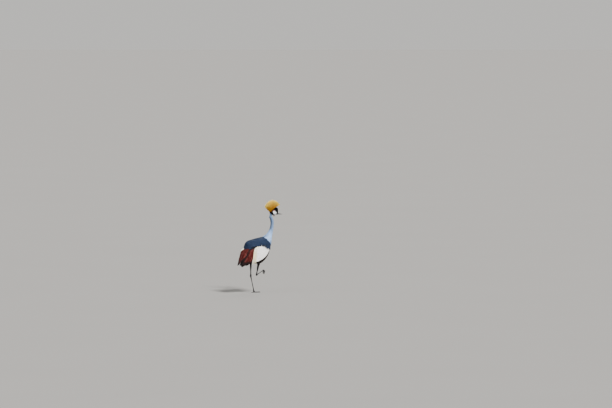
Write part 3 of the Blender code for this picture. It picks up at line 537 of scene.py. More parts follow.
def tree_of(points):
    """A tree that finds the nearest of some points."""
    tree = kdtree.KDTree(len(points))
    for index, point in enumerate(points):
        tree.insert(point, index)
    tree.balance()
    return tree


def off_the_edge(share):
    """A place from 0 to 1 on a map, kept a little off its edges."""
    return 0.02 + 0.96 * share


# What each part of the skin grew from, for its markings and the lie of its plumage. Each form has
# its own patch of the map that colours are baked to: its corner, width and height
MAP_PATCH = {"body": (0.0, 0.0, 1.0, 0.55), "skull": (0.0, 0.56, 0.30, 0.30),
             "cushion": (0.31, 0.56, 0.30, 0.30), "nape": (0.62, 0.56, 0.18, 0.30),
             "thigh": (0.0, 0.87, 0.45, 0.13), "arm": (0.5, 0.87, 0.3, 0.13),
             "rump": (0.82, 0.56, 0.18, 0.20)}
sources = []
for name, grid, direction in forms:
    u, v, wide, tall = MAP_PATCH[name]
    i, k = np.meshgrid(*(np.linspace(0.0, 1.0, n) for n in grid.shape[:2]), indexing="ij")
    patch = np.stack((u + wide * off_the_edge(i), v + tall * off_the_edge(k)), -1)
    lie = unit(np.gradient(grid, axis=0) * direction)
    sources.append((grid.reshape(-1, 3), np.full(i.size, name), lie.reshape(-1, 3), patch.reshape(-1, 2)))
tree_points, tree_form, tree_lie, tree_map = (np.concatenate(values) for values in zip(*sources))
finder = tree_of(tree_points)
skin_points, skin_normals = places_of(flesh)
flesh.calc_loop_triangles()
skin_triangles = np.zeros(len(flesh.loop_triangles) * 3, np.int32)
flesh.loop_triangles.foreach_get("vertices", skin_triangles)
skin_triangles = skin_triangles.reshape(-1, 3)
nearest = np.array([finder.find(p)[1] for p in skin_points])
skin_form, skin_lie, skin_map = tree_form[nearest], tree_lie[nearest], tree_map[nearest]
PROFILE_STEPS = 120


def along_body(spots):
    """How far along the body's profile a point is, from rump to nape."""
    middle = sampled(BODY_PROFILE, PROFILE_STEPS)
    line = np.stack(((middle[:, 0] + middle[:, 2]) / 2.0 + shift[0], (middle[:, 1] + middle[:, 3]) / 2.0), 1)
    far = np.linalg.norm(spots[:, None, (0, 2)] - line[None], axis=2)
    return far.argmin(1) / (PROFILE_STEPS - 1.0) * NECK_END


def markings(spots):
    """The bird's colours at points on it, the same for skin and plumage, with painted shade on the belly and
    along the back of the neck. They change at heights in metres, at places along the body's profile and at
    places in the head's own frame."""
    here = along_body(spots)
    x, height = spots[:, 0], spots[:, 2]
    # Painted shade: the slate darkens to near black towards the bottom of the belly
    colour = mixed(np.tile(SLATE, (len(spots), 1)), BELLY_PAINTED_SHADE, soft_step(0.50, 0.42, height))
    front = soft_step(0.10, 0.19, x) * soft_step(0.50, 0.54, height)
    middle = eased(BODY_PROFILE, here)
    # Painted shade along the back of the neck: hind is how far towards its back edge a point is
    hind = ((middle[:, 0] + middle[:, 2]) / 2.0 + shift[0] - x) / (middle[:, 2] - middle[:, 0])
    hind = soft_step(0.05, 0.42, hind) * soft_step(11.6, 13.4, here)
    # The neck is brighter at its base and darker towards the head, with painted shade along its back edge
    shade = 1.20 - 0.42 * soft_step(10.8, 13.0, here) - 0.50 * hind
    colour = mixed(colour, np.array(NECK_GREY) * shade[:, None], soft_step(9.0, 10.4, here + 1.1 * front))
    spot = placed(HEAD_BACK, spots)
    near_head = np.linalg.norm(spot[:, :2], axis=1) < 0.12
    behind = soft_step(0.022, -0.006, spot[:, 0])
    black = soft_step(-0.016, -0.008, spot[:, 2] + 0.004 * np.sin(spot[:, 1] * 700.0) - 0.032 * behind)
    colour = mixed(colour, VELVET, black * near_head)
    red = soft_step(0.0465, 0.0505, spot[:, 2] + 0.25 * (0.035 - spot[:, 0]))
    red *= soft_step(0.048, 0.042, spot[:, 0])
    return mixed(colour, mixed(CHEEK_WHITE, CHEEK_RED, red), cheek_shape(spot) * near_head)


# The bare legs and feet, with broad scutes down the front and small round scales elsewhere
SCUTE_RISE, SCALE_RISE = 0.00050, 0.00030


def scale_height(walked, angle, radius, scute):
    """Height of the scales over the leg's skin, at a distance down it and an angle round it."""
    step = (walked / scute) % 1.0
    plate = SCUTE_RISE * (0.35 + 0.65 * step) * soft_step(0.0, 0.10, step) * soft_step(1.0, 0.93, step)
    pebble = scute * 0.42
    row = np.floor(walked / pebble)
    a = (walked / pebble) % 1.0 - 0.5
    b = (angle * radius / pebble + 0.5 * (row % 2)) % 1.0 - 0.5
    dome = SCALE_RISE * np.clip(1.0 - 3.6 * (a * a + b * b), 0.0, 1.0) ** 0.5
    front = soft_step(1.12, 0.98, np.minimum(angle, 2.0 * np.pi - angle))
    return plate * front + dome * (1.0 - front)


def scaled_leg(rows, ahead, scute=0.0068, spacing=0.0010, sides=28):
    """Rings of a leg or toe with its scales, the scutes on the side that looks ahead."""
    line, out, radius, walked, a = tube_rings(rows, np.array(ahead), spacing, sides, -0.0003)
    high = scale_height(walked[:, None], a[None, :], radius[:, None], scute)
    return line[:, None] + out * (radius[:, None] + high - 0.0002)[..., None]


CLAW_LENGTH, CLAW_RADIUS, CURL_REACH, FLOOR_CLEAR = 0.013, 0.0030, 0.55, 0.0001
LEG_END, FOOT_BALL_SIZE = 0.0085, (0.0110, 0.0101, 0.0092)
TOE_TAPER, TOE_LEVEL, CURL_TURN = 0.30, 0.80, math.radians(150.0)
# Each toe: its name, its turn from straight ahead, its length and its radius
TOES = [("middle", 0.0, 0.085, 0.0058), ("inner", -38.0, 0.064, 0.0052),
        ("outer", 38.0, 0.069, 0.0052), ("hind", 172.0, 0.030, 0.0044)]
raised_ahead = (FOOT_BALL_RIGHT - Vector(SHANK_RIGHT[-2][:3])).normalized()
raised_across = Vector(UPWARD).cross(raised_ahead).normalized()
raised_down = -raised_ahead.cross(raised_across).normalized()


def claw_rows(tip, onward, curve, size=1.0):
    """A claw's line and radii from its root to its point, bent by a curve."""
    rows = []
    for t in np.linspace(0.0, 1.0, 8):
        point = tip + onward * (CLAW_LENGTH * size * t) + curve(t)
        rows.append((*point, CLAW_RADIUS * size * (1.0 - t) ** 0.8 + 0.0003))
    return rows


def standing_toe(turn, length, radius):
    """A toe flat on the floor on its pads, with its claw."""
    a = math.radians(turn)
    rows = []
    for t in np.linspace(0.0, 1.0, 8):
        size = radius * (1.0 - TOE_TAPER * t)
        pad = size * (1.0 - 0.07 * math.cos(6.0 * math.pi * t))
        rows.append((FOOT_BALL_LEFT.x + math.cos(a) * length * t,
                     FOOT_BALL_LEFT.y + math.sin(a) * length * t, size * TOE_LEVEL, pad))
    ahead, low = Vector((math.cos(a), math.sin(a), 0.0)), radius * (1.0 - TOE_TAPER) * TOE_LEVEL
    tip = Vector((FOOT_BALL_LEFT.x, FOOT_BALL_LEFT.y, 0.0)) + ahead * length

    def droop(t):
        return Vector((0.0, 0.0, low * (1.0 - t * t) + 0.0012 + 0.0006 * math.sin(math.pi * t)))
    return rows, claw_rows(tip, ahead, droop)


def curled_toe(name, turn, length, radius):
    """The raised foot's toes hang in a loose curl, the hind one straight behind the ball."""
    if name == "hind":
        down = Vector((0.0, 0.0, -1.0))
        spots = [FOOT_BALL_RIGHT, FOOT_BALL_RIGHT + down * 0.45 * length - raised_ahead * 0.30 * length,
                 FOOT_BALL_RIGHT + down * 0.95 * length - raised_ahead * 0.35 * length]
        rows = [(*p, radius * (1.0 - 0.15 * k)) for k, p in enumerate(spots)]
        onward = (spots[2] - spots[1]).normalized()
        return rows, claw_rows(spots[2], onward, lambda t: raised_ahead * (0.002 * t * t), 0.85)
    a = math.radians(turn * 0.55)
    splay = raised_ahead * math.cos(a) + raised_across * math.sin(a)
    reach = length * CURL_REACH
    rows = []
    for t in (0.0, 0.25, 0.50, 0.75, 1.0):
        bend = t * CURL_TURN
        forward, fall = math.sin(bend) * reach * 0.62, (1.0 - math.cos(bend)) * reach * 0.50
        spot = FOOT_BALL_RIGHT + splay * forward + raised_down * fall
        rows.append((*spot, radius * (1.0 - TOE_TAPER * t)))
    last, before = Vector(rows[-1][:3]), Vector(rows[-2][:3])
    return rows, claw_rows(last, (last - before).normalized(), lambda t: splay * (-0.002 * t * t))


leg_grids, claws = [], []
for thigh, shank, ball, ahead in ((THIGH_LEFT, SHANK_LEFT, FOOT_BALL_LEFT, AHEAD),
                                  (THIGH_RIGHT, SHANK_RIGHT, FOOT_BALL_RIGHT, UPWARD)):
    top = [(*thigh[2][:3], thigh[2][3] * 0.66)]
    leg_grids += [scaled_leg(top + thigh[3:] + [(*shank[1][:3], LEG_END)], AHEAD, 0.0056),
                  scaled_leg(shank + [(*ball, LEG_END)], ahead),
                  ball_rings(np.array(ball) + shift, FOOT_BALL_SIZE, 24, 28)]
for name, turn, length, radius in TOES:
    for side, ahead, (rows, claw) in (
            ("left", UPWARD, standing_toe(turn, length, radius)),
            ("right", tuple(raised_ahead), curled_toe(name, turn, length, radius))):
        leg_grids.append(scaled_leg(rows, ahead, 0.0042, 0.0011, 20))
        claws.append((f"claw_{side}_{name}", claw))
points, faces = lofted(leg_grids)
points[:, 2] = np.maximum(points[:, 2], FLOOR_CLEAR)
legs = mesh_of("legs", points, faces, np.tile(LEG_BLACK, (len(points), 1)))

# Under a wing the skin takes the colour of the feathers over it, dimmed as painted shade: white in front,
# maroon behind
UNDER_WHITE, UNDER_MAROON, MAROON_FROM = (0.50, 0.49, 0.47), (0.020, 0.004, 0.004), -0.145
marked = markings(skin_points)
covered = (skin_form == "arm") & (skin_points[:, 2] < 0.56)
marked[covered] = np.where(skin_points[covered, :1] > MAROON_FROM, UNDER_WHITE, UNDER_MAROON)
paint(flesh, marked)


def new_group(name, **inputs):
    """A shader node group of a tint and other values, for a colour, a roughness and a height."""
    group = bpy.data.node_groups.new(name, "ShaderNodeTree")
    for label, value in {"Tint": (1.0, 1.0, 1.0, 1.0), **inputs}.items():
        kind = "NodeSocketColor" if isinstance(value, tuple) else "NodeSocketFloat"
        socket = group.interface.new_socket(label.replace("_", " "), in_out="INPUT", socket_type=kind)
        socket.default_value = value
    for label, kind in (("Color", "Color"), ("Roughness", "Float"), ("Height", "Float")):
        group.interface.new_socket(label, in_out="OUTPUT", socket_type=f"NodeSocket{kind}")
    return group, node(group, "NodeGroupInput").outputs, node(group, "NodeGroupOutput")


def calculate(tree, kind, *values):
    """A math node on sockets or numbers; gives its output."""
    made = node(tree, "ShaderNodeMath", operation=kind)
    for socket, value in zip(made.inputs, values):
        fill(tree, socket, value)
    return made.outputs[0]


def blended(tree, share, first, second, kind="MIX"):
    """A mix of two colours, each a socket or a value; gives its output."""
    made = node(tree, "ShaderNodeMix", data_type="RGBA", blend_type=kind)
    for index, value in ((0, share), (6, first), (7, second)):
        fill(tree, made.inputs[index], value)
    return made.outputs[2]


def scaled(tree, colour, share):
    """A colour times a value; gives its output."""
    made = node(tree, "ShaderNodeVectorMath", operation="SCALE", Scale=share)
    fill(tree, made.inputs[0], colour)
    return made.outputs[0]


# Fine cells and wrinkles of bare skin, as colour, roughness and height
skin_grain, taken, given = new_group("skin_grain", Cell=700.0, Wear=0.25, Crease=0.4)
place = node(skin_grain, "ShaderNodeTexCoord").outputs["Object"]
cells = node(skin_grain, "ShaderNodeTexVoronoi", feature="DISTANCE_TO_EDGE", Vector=place,
             Scale=taken["Cell"])
cloud = noise(skin_grain, Scale=55.0, Detail=5.0, Roughness=0.62)
edge = calculate(skin_grain, "MULTIPLY", cells.outputs["Distance"], 5.0)
edge = calculate(skin_grain, "MINIMUM", edge, 1.0)
patchy = calculate(skin_grain, "MULTIPLY_ADD", cloud, taken["Wear"], 0.86)
dark = blended(skin_grain, taken["Crease"], taken["Tint"], (0.30, 0.26, 0.25, 1.0), "MULTIPLY")
wire(skin_grain, given,
     Color=scaled(skin_grain, blended(skin_grain, edge, dark, taken["Tint"]), patchy),
     Roughness=calculate(skin_grain, "MULTIPLY_ADD", cloud, 0.35, 0.38),
     Height=calculate(skin_grain, "ADD", edge, cloud))


def painted(tree):
    """The tint painted on a mesh; gives its output."""
    return node(tree, "ShaderNodeAttribute", attribute_name="tint").outputs["Color"]


def surfaced(name, group, bump, specular, sheen=0.0, **values):
    """A material of the painted tint through a grain group, with its height as a bump."""
    material, tree, shader = new_material(name, specular=specular, Sheen_Weight=sheen, Sheen_Roughness=0.4)
    grain = node(tree, "ShaderNodeGroup", node_tree=group, Tint=painted(tree), **values).outputs
    rise = node(tree, "ShaderNodeBump", Strength=bump[0], Distance=bump[1], Height=grain["Height"])
    wire(tree, shader, Base_Color=grain["Color"], Roughness=grain["Roughness"],
         Normal=rise.outputs["Normal"])
    return material


flesh.materials.append(surfaced("soft_skin", skin_grain, (0.25, 0.0003), 0.3, Cell=1100.0, Wear=0.22,
                                Crease=0.12))
legs.materials.append(surfaced("leg_skin", skin_grain, (0.30, 0.0003), 0.22, Cell=900.0, Wear=0.30))
both = [bpy.data.objects.new("skin", flesh), bpy.data.objects.new("legs", legs)]
for made in both:
    bpy.context.scene.collection.objects.link(made)
bpy.context.view_layer.update()
with bpy.context.temp_override(active_object=both[0], object=both[0], selected_objects=both,
                               selected_editable_objects=both):
    bpy.ops.object.join()
skin_mesh = both[0].data
skin_mesh.shade_smooth()
bpy.data.objects.remove(both[0], do_unlink=True)
add_piece("skin", skin_mesh, None, "neck_feathers", "torso", "neck_lower", "neck_upper", "head",
          "tibia_left", "tibia_right", "tarsus_left", "tarsus_right", "foot_left", "foot_right")


# Claws
# Eight short blunt claws of dark horn, one at the end of each toe, a little hooked and paler
# and worn at the point. Each grows out of the toe's last scale.
CLAW_HORN, CLAW_SIDES, HORN_WORN = (0.018, 0.016, 0.015), 14, (0.28, 0.26, 0.23, 1.0)

# Streaks and scratches of horn, as colour, roughness and height
horn_grain, taken, given = new_group("horn_grain", Streaks=160.0, Wear=0.35)
cloud = noise(horn_grain, Scale=taken["Streaks"], Detail=6.0, Roughness=0.68, Distortion=0.4)
scratch = noise(horn_grain, Scale=900.0, Detail=3.0)
worn = calculate(horn_grain, "MULTIPLY", calculate(horn_grain, "POWER", cloud, 2.0), taken["Wear"])
wire(horn_grain, given, Color=blended(horn_grain, worn, taken["Tint"], HORN_WORN),
     Roughness=calculate(horn_grain, "MULTIPLY_ADD", scratch, 0.30, 0.28),
     Height=calculate(horn_grain, "ADD", cloud, scratch))
claw_horn = surfaced("claw_horn", horn_grain, (0.25, 0.0002), 0.3, Streaks=240.0, Wear=0.10)

for name, rows in claws:
    line, out, radius, walked, a = tube_rings(rows, np.array((0.0, 0.13, 1.0)), 0.0008, CLAW_SIDES)
    ridge = 1.0 + 0.10 * np.cos(a)[None, :] ** 8
    grid = line[:, None] + out * (radius[:, None] * ridge)[..., None]
    grid[..., 2] = np.maximum(grid[..., 2], FLOOR_CLEAR)
    share = np.append(np.repeat(walked / walked[-1], CLAW_SIDES), (0.0, 1.0))
    claw = mesh_of(name, *lofted([grid]), np.array(CLAW_HORN) * (1.0 + 1.6 * share ** 3)[:, None])
    add_piece(f"{name}_horn", claw, claw_horn, "claw_horn", name)


# Bill
# Two horn sheaths over the jaws, almost closed: a ridged upper half with a nostril on each side in
# its long groove, a shallow dip painted near black as painted shade, and a lower half that fits inside
# its edges. Black, grey at the tip.
BILL_UPPER = [(0.052, 0.0080, 0.0105), (0.064, 0.0080, 0.0105), (0.078, 0.0070, 0.0100),
              (0.092, 0.0056, 0.0083), (0.106, 0.0042, 0.0063), (0.119, 0.0028, 0.0043),
              (0.129, 0.0015, 0.0024), (0.1345, 0.0005, 0.0009)]
BILL_LOWER = [(0.052, 0.0070, 0.0070), (0.064, 0.0074, 0.0080), (0.078, 0.0064, 0.0070),
              (0.092, 0.0051, 0.0054), (0.106, 0.0038, 0.0039), (0.119, 0.0025, 0.0024),
              (0.128, 0.0013, 0.0012), (0.1325, 0.0005, 0.0006)]
MOUTH_TIP, NOSTRIL_AT, NOSTRIL_SIZE = 0.0082, (0.088, 0.0165), (0.0085, 0.0014)
BILL_RINGS, BILL_SIDES, MOUTH_SIDES = 130, 65, 7
BILL_BLACK, BILL_TIP = (0.0050, 0.0060, 0.0090), (0.030, 0.033, 0.038)
bill_horn = surfaced("bill_horn", horn_grain, (0.22, 0.0003), 0.22, Streaks=120.0, Wear=0.05)


def facing_outward(mesh):
    """Turn the faces of a closed mesh outward."""
    work = bmesh.new()
    work.from_mesh(mesh)
    bmesh.ops.recalc_face_normals(work, faces=work.faces)
    work.to_mesh(mesh)
    work.free()


def bill_half(name, rows, side):
    """Half of the bill: an arched sheath over a flat mouth edge, dipped at the nostril."""
    row = sampled(rows, BILL_RINGS)
    reach = (row[:, 0] - BILL_START) / (BILL_UPPER[-1][0] - BILL_START)
    mouth = MOUTH_BACK + (MOUTH_TIP - MOUTH_BACK) * reach + side * 0.00018
    a = np.linspace(0.0, np.pi, BILL_SIDES)
    lift = np.abs(np.sin(a)) ** (0.92 if side > 0 else 1.0)
    x = np.repeat(row[:, :1], BILL_SIDES, 1)
    y = row[:, 1:2] * np.cos(a)[None]
    z = mouth[:, None] + side * row[:, 2:3] * lift[None]
    ahead, over = x - NOSTRIL_AT[0], z - NOSTRIL_AT[1]
    dip = (ahead / NOSTRIL_SIZE[0]) ** 2 + (over / NOSTRIL_SIZE[1]) ** 2
    groove = ((ahead - 0.002) / 0.020) ** 2 + (over / 0.0024) ** 2
    if side > 0:
        y -= np.sign(y) * (0.0012 * soft_step(1.5, 0.3, dip) + 0.0005 * soft_step(1.6, 0.1, groove))
    flat = np.linspace(1.0, -1.0, MOUTH_SIDES + 2)[1:-1]
    under = np.stack((np.repeat(row[:, :1], MOUTH_SIDES, 1), -row[:, 1:2] * flat[None],
                      np.repeat(mouth[:, None], MOUTH_SIDES, 1)), -1)
    grid = np.concatenate((np.stack((x, y, z), -1), under), 1)[:, ::side]
    share = np.append(np.repeat(reach, grid.shape[1]), (0.0, 1.0))
    tint = mixed(BILL_BLACK, BILL_TIP, soft_step(0.55, 0.98, share))
    if side > 0:
        # The nostril is a shallow dip painted near black as painted shade
        nostril_painted_dark = soft_step(1.1, 0.6, np.concatenate((dip, np.full((BILL_RINGS, MOUTH_SIDES), 9.0)), 1).ravel())
        tint = tint * (1.0 - 0.92 * np.append(nostril_painted_dark, (0.0, 0.0))[:, None])
    points, faces = lofted([grid])
    made = mesh_of(name, placed(HEAD, points), faces, tint)
    facing_outward(made)
    made.set_sharp_from_angle(angle=math.radians(50.0))
    return made


for name, rows, side in (("bill_upper", BILL_UPPER, 1), ("bill_lower", BILL_LOWER, -1)):
    add_piece(f"{name}_horn", bill_half(f"{name}_horn", rows, side), bill_horn, "bill_horn", name)


# Eyes
# Pale blue-grey eyes with a round black pupil under a clear bulging front, set in dark lids. The
# lids are two soft folds that meet in front of and behind the eye.
IRIS_PALE, IRIS_DEEP, PUPIL = (0.52, 0.58, 0.60), (0.24, 0.30, 0.33), (0.002, 0.002, 0.002)
LID_GREY, EYE_RINGS = (0.020, 0.019, 0.020), 48
eye_surface, tree, shader = new_material("eye", 0.08, 0.20, Coat_Weight=0.25, Coat_Roughness=0.02)
fleck = calculate(tree, "MULTIPLY_ADD", noise(tree, Scale=1400.0, Detail=4.0), 0.5, 0.75)
wire(tree, shader, Base_Color=scaled(tree, painted(tree), fleck))
lid_skin = surfaced("lid_skin", skin_grain, (0.4, 0.0002), 0.4, Cell=1500.0, Wear=0.3)

for side, name in ((1.0, "left"), (-1.0, "right")):
    middle = np.array((EYE_AT[0], side * EYE_AT[1], EYE_AT[2]))
    off = np.pi * np.linspace(0.015, 0.985, EYE_RINGS)
    turn = 2.0 * np.pi * np.arange(EYE_RINGS) / EYE_RINGS
    bulge = EYE_RADIUS * (1.0 + 0.03 * np.exp(-(off / 0.5) ** 2))
    ball = np.stack((np.sin(off)[:, None] * np.cos(turn)[None], np.repeat(np.cos(off)[:, None], EYE_RINGS, 1),
                     np.sin(off)[:, None] * np.sin(turn)[None]), -1) * bulge[:, None, None]
    ball[..., 1] *= side
    streak = 0.10 * np.sin(turn * 23.0)[None] + 0.06 * np.sin(turn * 41.0 + 1.3)[None]
    share = off[:, None] + streak * soft_step(0.35, 0.6, off)[:, None] * 0.3
    iris = mixed(IRIS_PALE, IRIS_DEEP, soft_step(0.70, 1.0, share))
    iris = iris * (1.0 - 0.995 * soft_step(0.40, 0.35, off)[:, None, None])
    iris = iris * (1.0 - 0.9 * soft_step(1.02, 1.15, share)[..., None])
    points, faces = lofted([ball + middle])
    tint = np.concatenate((iris.reshape(-1, 3), [PUPIL, PUPIL]))
    eyeball = mesh_of(f"eye_{name}", placed(HEAD, points), faces, tint)
    facing_outward(eyeball)
    add_piece(f"eyeball_{name}", eyeball, eye_surface, "eye_pale", f"eye_{name}")

# Each lid rim rises out of the skin, folds once and closes on the eyeball as an almond opening
LID_RIM, LID_OPEN, LID_DEEP = 0.0082, (0.0049, 0.0041), 0.0013
LID_SPOKES, LID_STEPS = 72, 13
head_surface = BVHTree.FromPolygons([Vector(p) for p in placed(HEAD_BACK, skin_points)],
                                    skin_triangles.tolist())
spokes = []
for side in (1.0, -1.0):
    middle = Vector((EYE_AT[0], side * EYE_AT[1], EYE_AT[2]))
    for a in np.linspace(0.0, 2.0 * np.pi, LID_SPOKES, endpoint=False):
        along = Vector((math.cos(a), 0.0, math.sin(a) + 0.05 * math.cos(a)))
        opening = LID_OPEN[1] + (LID_OPEN[0] - LID_OPEN[1]) * abs(math.cos(a)) ** 1.5
        spoke = []
        for t in np.linspace(0.0, 1.0, LID_STEPS):
            reach = opening + (LID_RIM - opening) * t
            spot = middle + along * reach
            hit = head_surface.ray_cast(Vector((spot.x, side * 0.06, spot.z)), Vector((0.0, -side, 0.0)))[0]
            skin_out = abs(hit.y) if hit else abs(middle.y)
            eye_out = EYE_AT[1] + math.sqrt(max(0.0, (EYE_RADIUS * 1.03) ** 2 - reach ** 2)) + 0.0003
            high = eye_out + (skin_out - 0.0005 - eye_out) * float(soft_step(0.10, 1.0, t))
            high += 0.00045 * math.sin(math.pi * t) * math.sin(3.0 * math.pi * t + 0.4) + 0.0002 * (1.0 - t)
            spoke.append(Vector((spot.x, side * high, spot.z)))
        spoke += [p - Vector((0.0, side * LID_DEEP, 0.0)) for p in reversed(spoke)]
        spokes.append([tuple(p) for p in spoke])
round_spoke = 2 * LID_STEPS
i, k = np.meshgrid(np.arange(2 * LID_SPOKES), np.arange(round_spoke), indexing="ij")
on = np.where(i % LID_SPOKES == LID_SPOKES - 1, i + 1 - LID_SPOKES, i + 1)
n = (k + 1) % round_spoke
quads = np.stack((i * round_spoke + k, i * round_spoke + n, on * round_spoke + n, on * round_spoke + k), -1)
lids = mesh_of("lids", placed(HEAD, np.array(spokes).reshape(-1, 3)), quads.reshape(-1, 4),
               np.tile(LID_GREY, (quads[..., 0].size, 1)))
facing_outward(lids)
add_piece("lids", lids, lid_skin, "velvet_black")


# Wattle
# A small bare red wattle of soft folded skin that hangs from the throat in two lobes.
WATTLE_AT, WATTLE_RED = (0.0365, 0.0, -0.0020), (0.085, 0.0035, 0.0045)
LOBES = [((0.0, 0.0, 0.0), (0.0080, 0.0050, 0.0055)), ((-0.002, 0.0020, -0.0075), (0.0046, 0.0034, 0.0074)),
         ((0.002, -0.0020, -0.0068), (0.0044, 0.0034, 0.0066))]
wattle = mesh_of("wattle", *lofted(ball_rings(np.array(WATTLE_AT) + place, size, 20, 24)
                                   for place, size in LOBES))
wattle = evaluated(wattle, ("REMESH", {"mode": "VOXEL", "voxel_size": 0.0007}),
                   ("SMOOTH", {"factor": 0.5, "iterations": 5}))
points, normals = places_of(wattle)
fold = np.sin(points[:, 2] * 1500.0 + 2.2 * np.sin(points[:, 0] * 520.0 + points[:, 1] * 700.0))
fold += 0.5 * np.sin(points[:, 0] * 1300.0 + points[:, 2] * 600.0)
points += normals * (0.00016 * fold)[:, None]
move(wattle, placed(HEAD, points))
# The red is lighter on the ridges of the folds and darker in their creases, as painted light and shade
paint(wattle, np.array(WATTLE_RED) * (1.0 + 0.25 * fold[:, None] * 0.4))
wattle.shade_smooth()
wattle_skin = surfaced("wattle_skin", skin_grain, (0.4, 0.0003), 0.5, Cell=1300.0, Wear=0.3)
add_piece("wattle_skin", wattle, wattle_skin, "wattle_red", "wattle")


# Crest
# A fan of 1,500 stiff golden bristles on the hind crown, each a flat shaft twisted along its
# length, darkened to brown at the root as painted shade where they crowd and pale straw at the end.
# They spread like a globe.
CREST_MIDDLE = (0.012, 0.0, 0.0710)
CREST_ROOTS = (0.010, 0.0235, 0.0165)           # middle, half length and half width of the rooted crown
CREST_SPREAD, CREST_SPREAD_BACK, CREST_SIDE = math.radians(60.0), math.radians(12.0), 0.80
CREST_REACH, CREST_REACH_BACK, CREST_DROOP = 0.118, 0.094, 0.006
BRISTLES, BRISTLE_WIDE, BRISTLE_FLAT, BRISTLE_TURNS, BRISTLE_STEPS = 1500, 0.00072, 0.00030, 2.2, 16
CREST_ROOT_SHADE, CREST_GOLD, CREST_STRAW = (0.560, 0.150, 0.003), (0.980, 0.530, 0.012), (0.980, 0.780, 0.130)


def build_bristles():
    """Geometry nodes: a twisted bristle on each point, turned to its direction and scaled."""
    tree = bpy.data.node_groups.new("bristles", "GeometryNodeTree")
    for label, kind in (("Geometry", "Geometry"), ("Steps", "Int"), ("Half width", "Float"),
                        ("Half thickness", "Float"), ("Turns", "Float"), ("Bristle", "Material")):
        tree.interface.new_socket(label, in_out="INPUT", socket_type=f"NodeSocket{kind}")
    tree.interface.new_socket("Geometry", in_out="OUTPUT", socket_type="NodeSocketGeometry")
    taken = node(tree, "NodeGroupInput").outputs
    step = node(tree, "ShaderNodeCombineXYZ", Z=calculate(tree, "DIVIDE", 1.0, taken["Steps"])).outputs[0]
    line = node(tree, "GeometryNodeMeshLine", mode="OFFSET", Count=taken["Steps"], Offset=step)
    curve = node(tree, "GeometryNodeMeshToCurve", Mesh=line.outputs["Mesh"])
    share = node(tree, "GeometryNodeSplineParameter").outputs["Factor"]
    tilt = calculate(tree, "MULTIPLY", share, calculate(tree, "MULTIPLY", taken["Turns"], 2.0 * math.pi))
    curve = node(tree, "GeometryNodeSetCurveTilt", Curve=curve.outputs["Curve"], Tilt=tilt)
    thin = node(tree, "ShaderNodeMapRange", Value=share, To_Min=1.0, To_Max=0.10).outputs["Result"]
    curve = node(tree, "GeometryNodeSetCurveRadius", Curve=curve.outputs["Curve"], Radius=thin)
    section = node(tree, "GeometryNodeCurvePrimitiveCircle", Resolution=4, Radius=1.0)
    flat = node(tree, "ShaderNodeCombineXYZ", X=taken["Half width"], Y=taken["Half thickness"], Z=1.0)
    section = node(tree, "GeometryNodeTransform", Geometry=section.outputs["Curve"], Scale=flat.outputs[0])
    solid = node(tree, "GeometryNodeCurveToMesh", Curve=curve.outputs["Curve"],
                 Profile_Curve=section.outputs["Geometry"], Fill_Caps=True)
    turn = node(tree, "GeometryNodeInputNamedAttribute", data_type="FLOAT_VECTOR", Name="direction")
    aligned = node(tree, "FunctionNodeAlignRotationToVector", axis="Z", Vector=turn.outputs["Attribute"])
    reach = node(tree, "GeometryNodeInputNamedAttribute", data_type="FLOAT", Name="reach")
    size = node(tree, "ShaderNodeCombineXYZ", X=1.0, Y=1.0, Z=reach.outputs["Attribute"]).outputs[0]
    placing = node(tree, "GeometryNodeInstanceOnPoints", Points=taken["Geometry"], Scale=size,
                   Instance=solid.outputs["Mesh"], Rotation=aligned.outputs["Rotation"])
    real = node(tree, "GeometryNodeRealizeInstances", Geometry=placing.outputs["Instances"])
    finish = node(tree, "GeometryNodeSetMaterial", Geometry=real.outputs["Geometry"],
                  Material=taken["Bristle"])
    node(tree, "NodeGroupOutput", Geometry=finish.outputs["Geometry"])
    return tree


draw = np.random.default_rng(11)
k = np.arange(BRISTLES)
turn = np.radians(137.508 * k)
off_axis = (CREST_SPREAD + CREST_SPREAD_BACK * (0.5 - 0.5 * np.cos(turn))) * np.sqrt((k + 0.5) / BRISTLES)
off_axis += draw.normal(0.0, 0.035, BRISTLES)
heading = unit(np.stack((np.sin(off_axis) * np.cos(turn), np.sin(off_axis) * np.sin(turn) * CREST_SIDE,
                         np.cos(off_axis)), 1))
reach = CREST_REACH + (CREST_REACH_BACK - CREST_REACH) * np.maximum(0.0, -heading[:, 0])
reach *= draw.uniform(0.72, 1.0, BRISTLES) ** 0.6
tips = np.array(CREST_MIDDLE) + heading * reach[:, None]
root_x = CREST_ROOTS[0] + CREST_ROOTS[1] * heading[:, 0]
root_y = CREST_ROOTS[2] * heading[:, 1] / CREST_SIDE
crown = [np.interp(root_x, SKULL[:, 0], SKULL[:, column]) for column in (1, 2, 3)]
root_z = crown[0] + crown[2] * np.sqrt(np.maximum(0.05, 1.0 - (root_y / crown[1]) ** 2)) - 0.0025
roots = np.stack((root_x, root_y, root_z), 1)
reach = np.linalg.norm(tips - roots, axis=1)
map_place = heading[:, :2] * 0.46 + 0.5
heading = unit(tips - roots)
cloud = bpy.data.meshes.new("crest_roots")
cloud.from_pydata(roots.tolist(), [], [])
for label, kind, field, values in (("direction", "FLOAT_VECTOR", "vector", heading),
                                   ("reach", "FLOAT", "value", reach)):
    cloud.attributes.new(label, kind, "POINT").data.foreach_set(field, values.astype(np.float32).ravel())
crest_gold, tree, shader = new_material("crest_gold", 0.55, 0.18, Sheen_Weight=0.05)
bristle_tree = build_bristles()
named = {s.name: s.identifier for s in bristle_tree.interface.items_tree if s.in_out == "INPUT"}
inputs = {"Steps": BRISTLE_STEPS, "Half width": BRISTLE_WIDE, "Half thickness": BRISTLE_FLAT,
          "Turns": BRISTLE_TURNS, "Bristle": crest_gold}
crest = evaluated(cloud, ("NODES", {"node_group": bristle_tree,
                                    **{named[label]: value for label, value in inputs.items()}}))
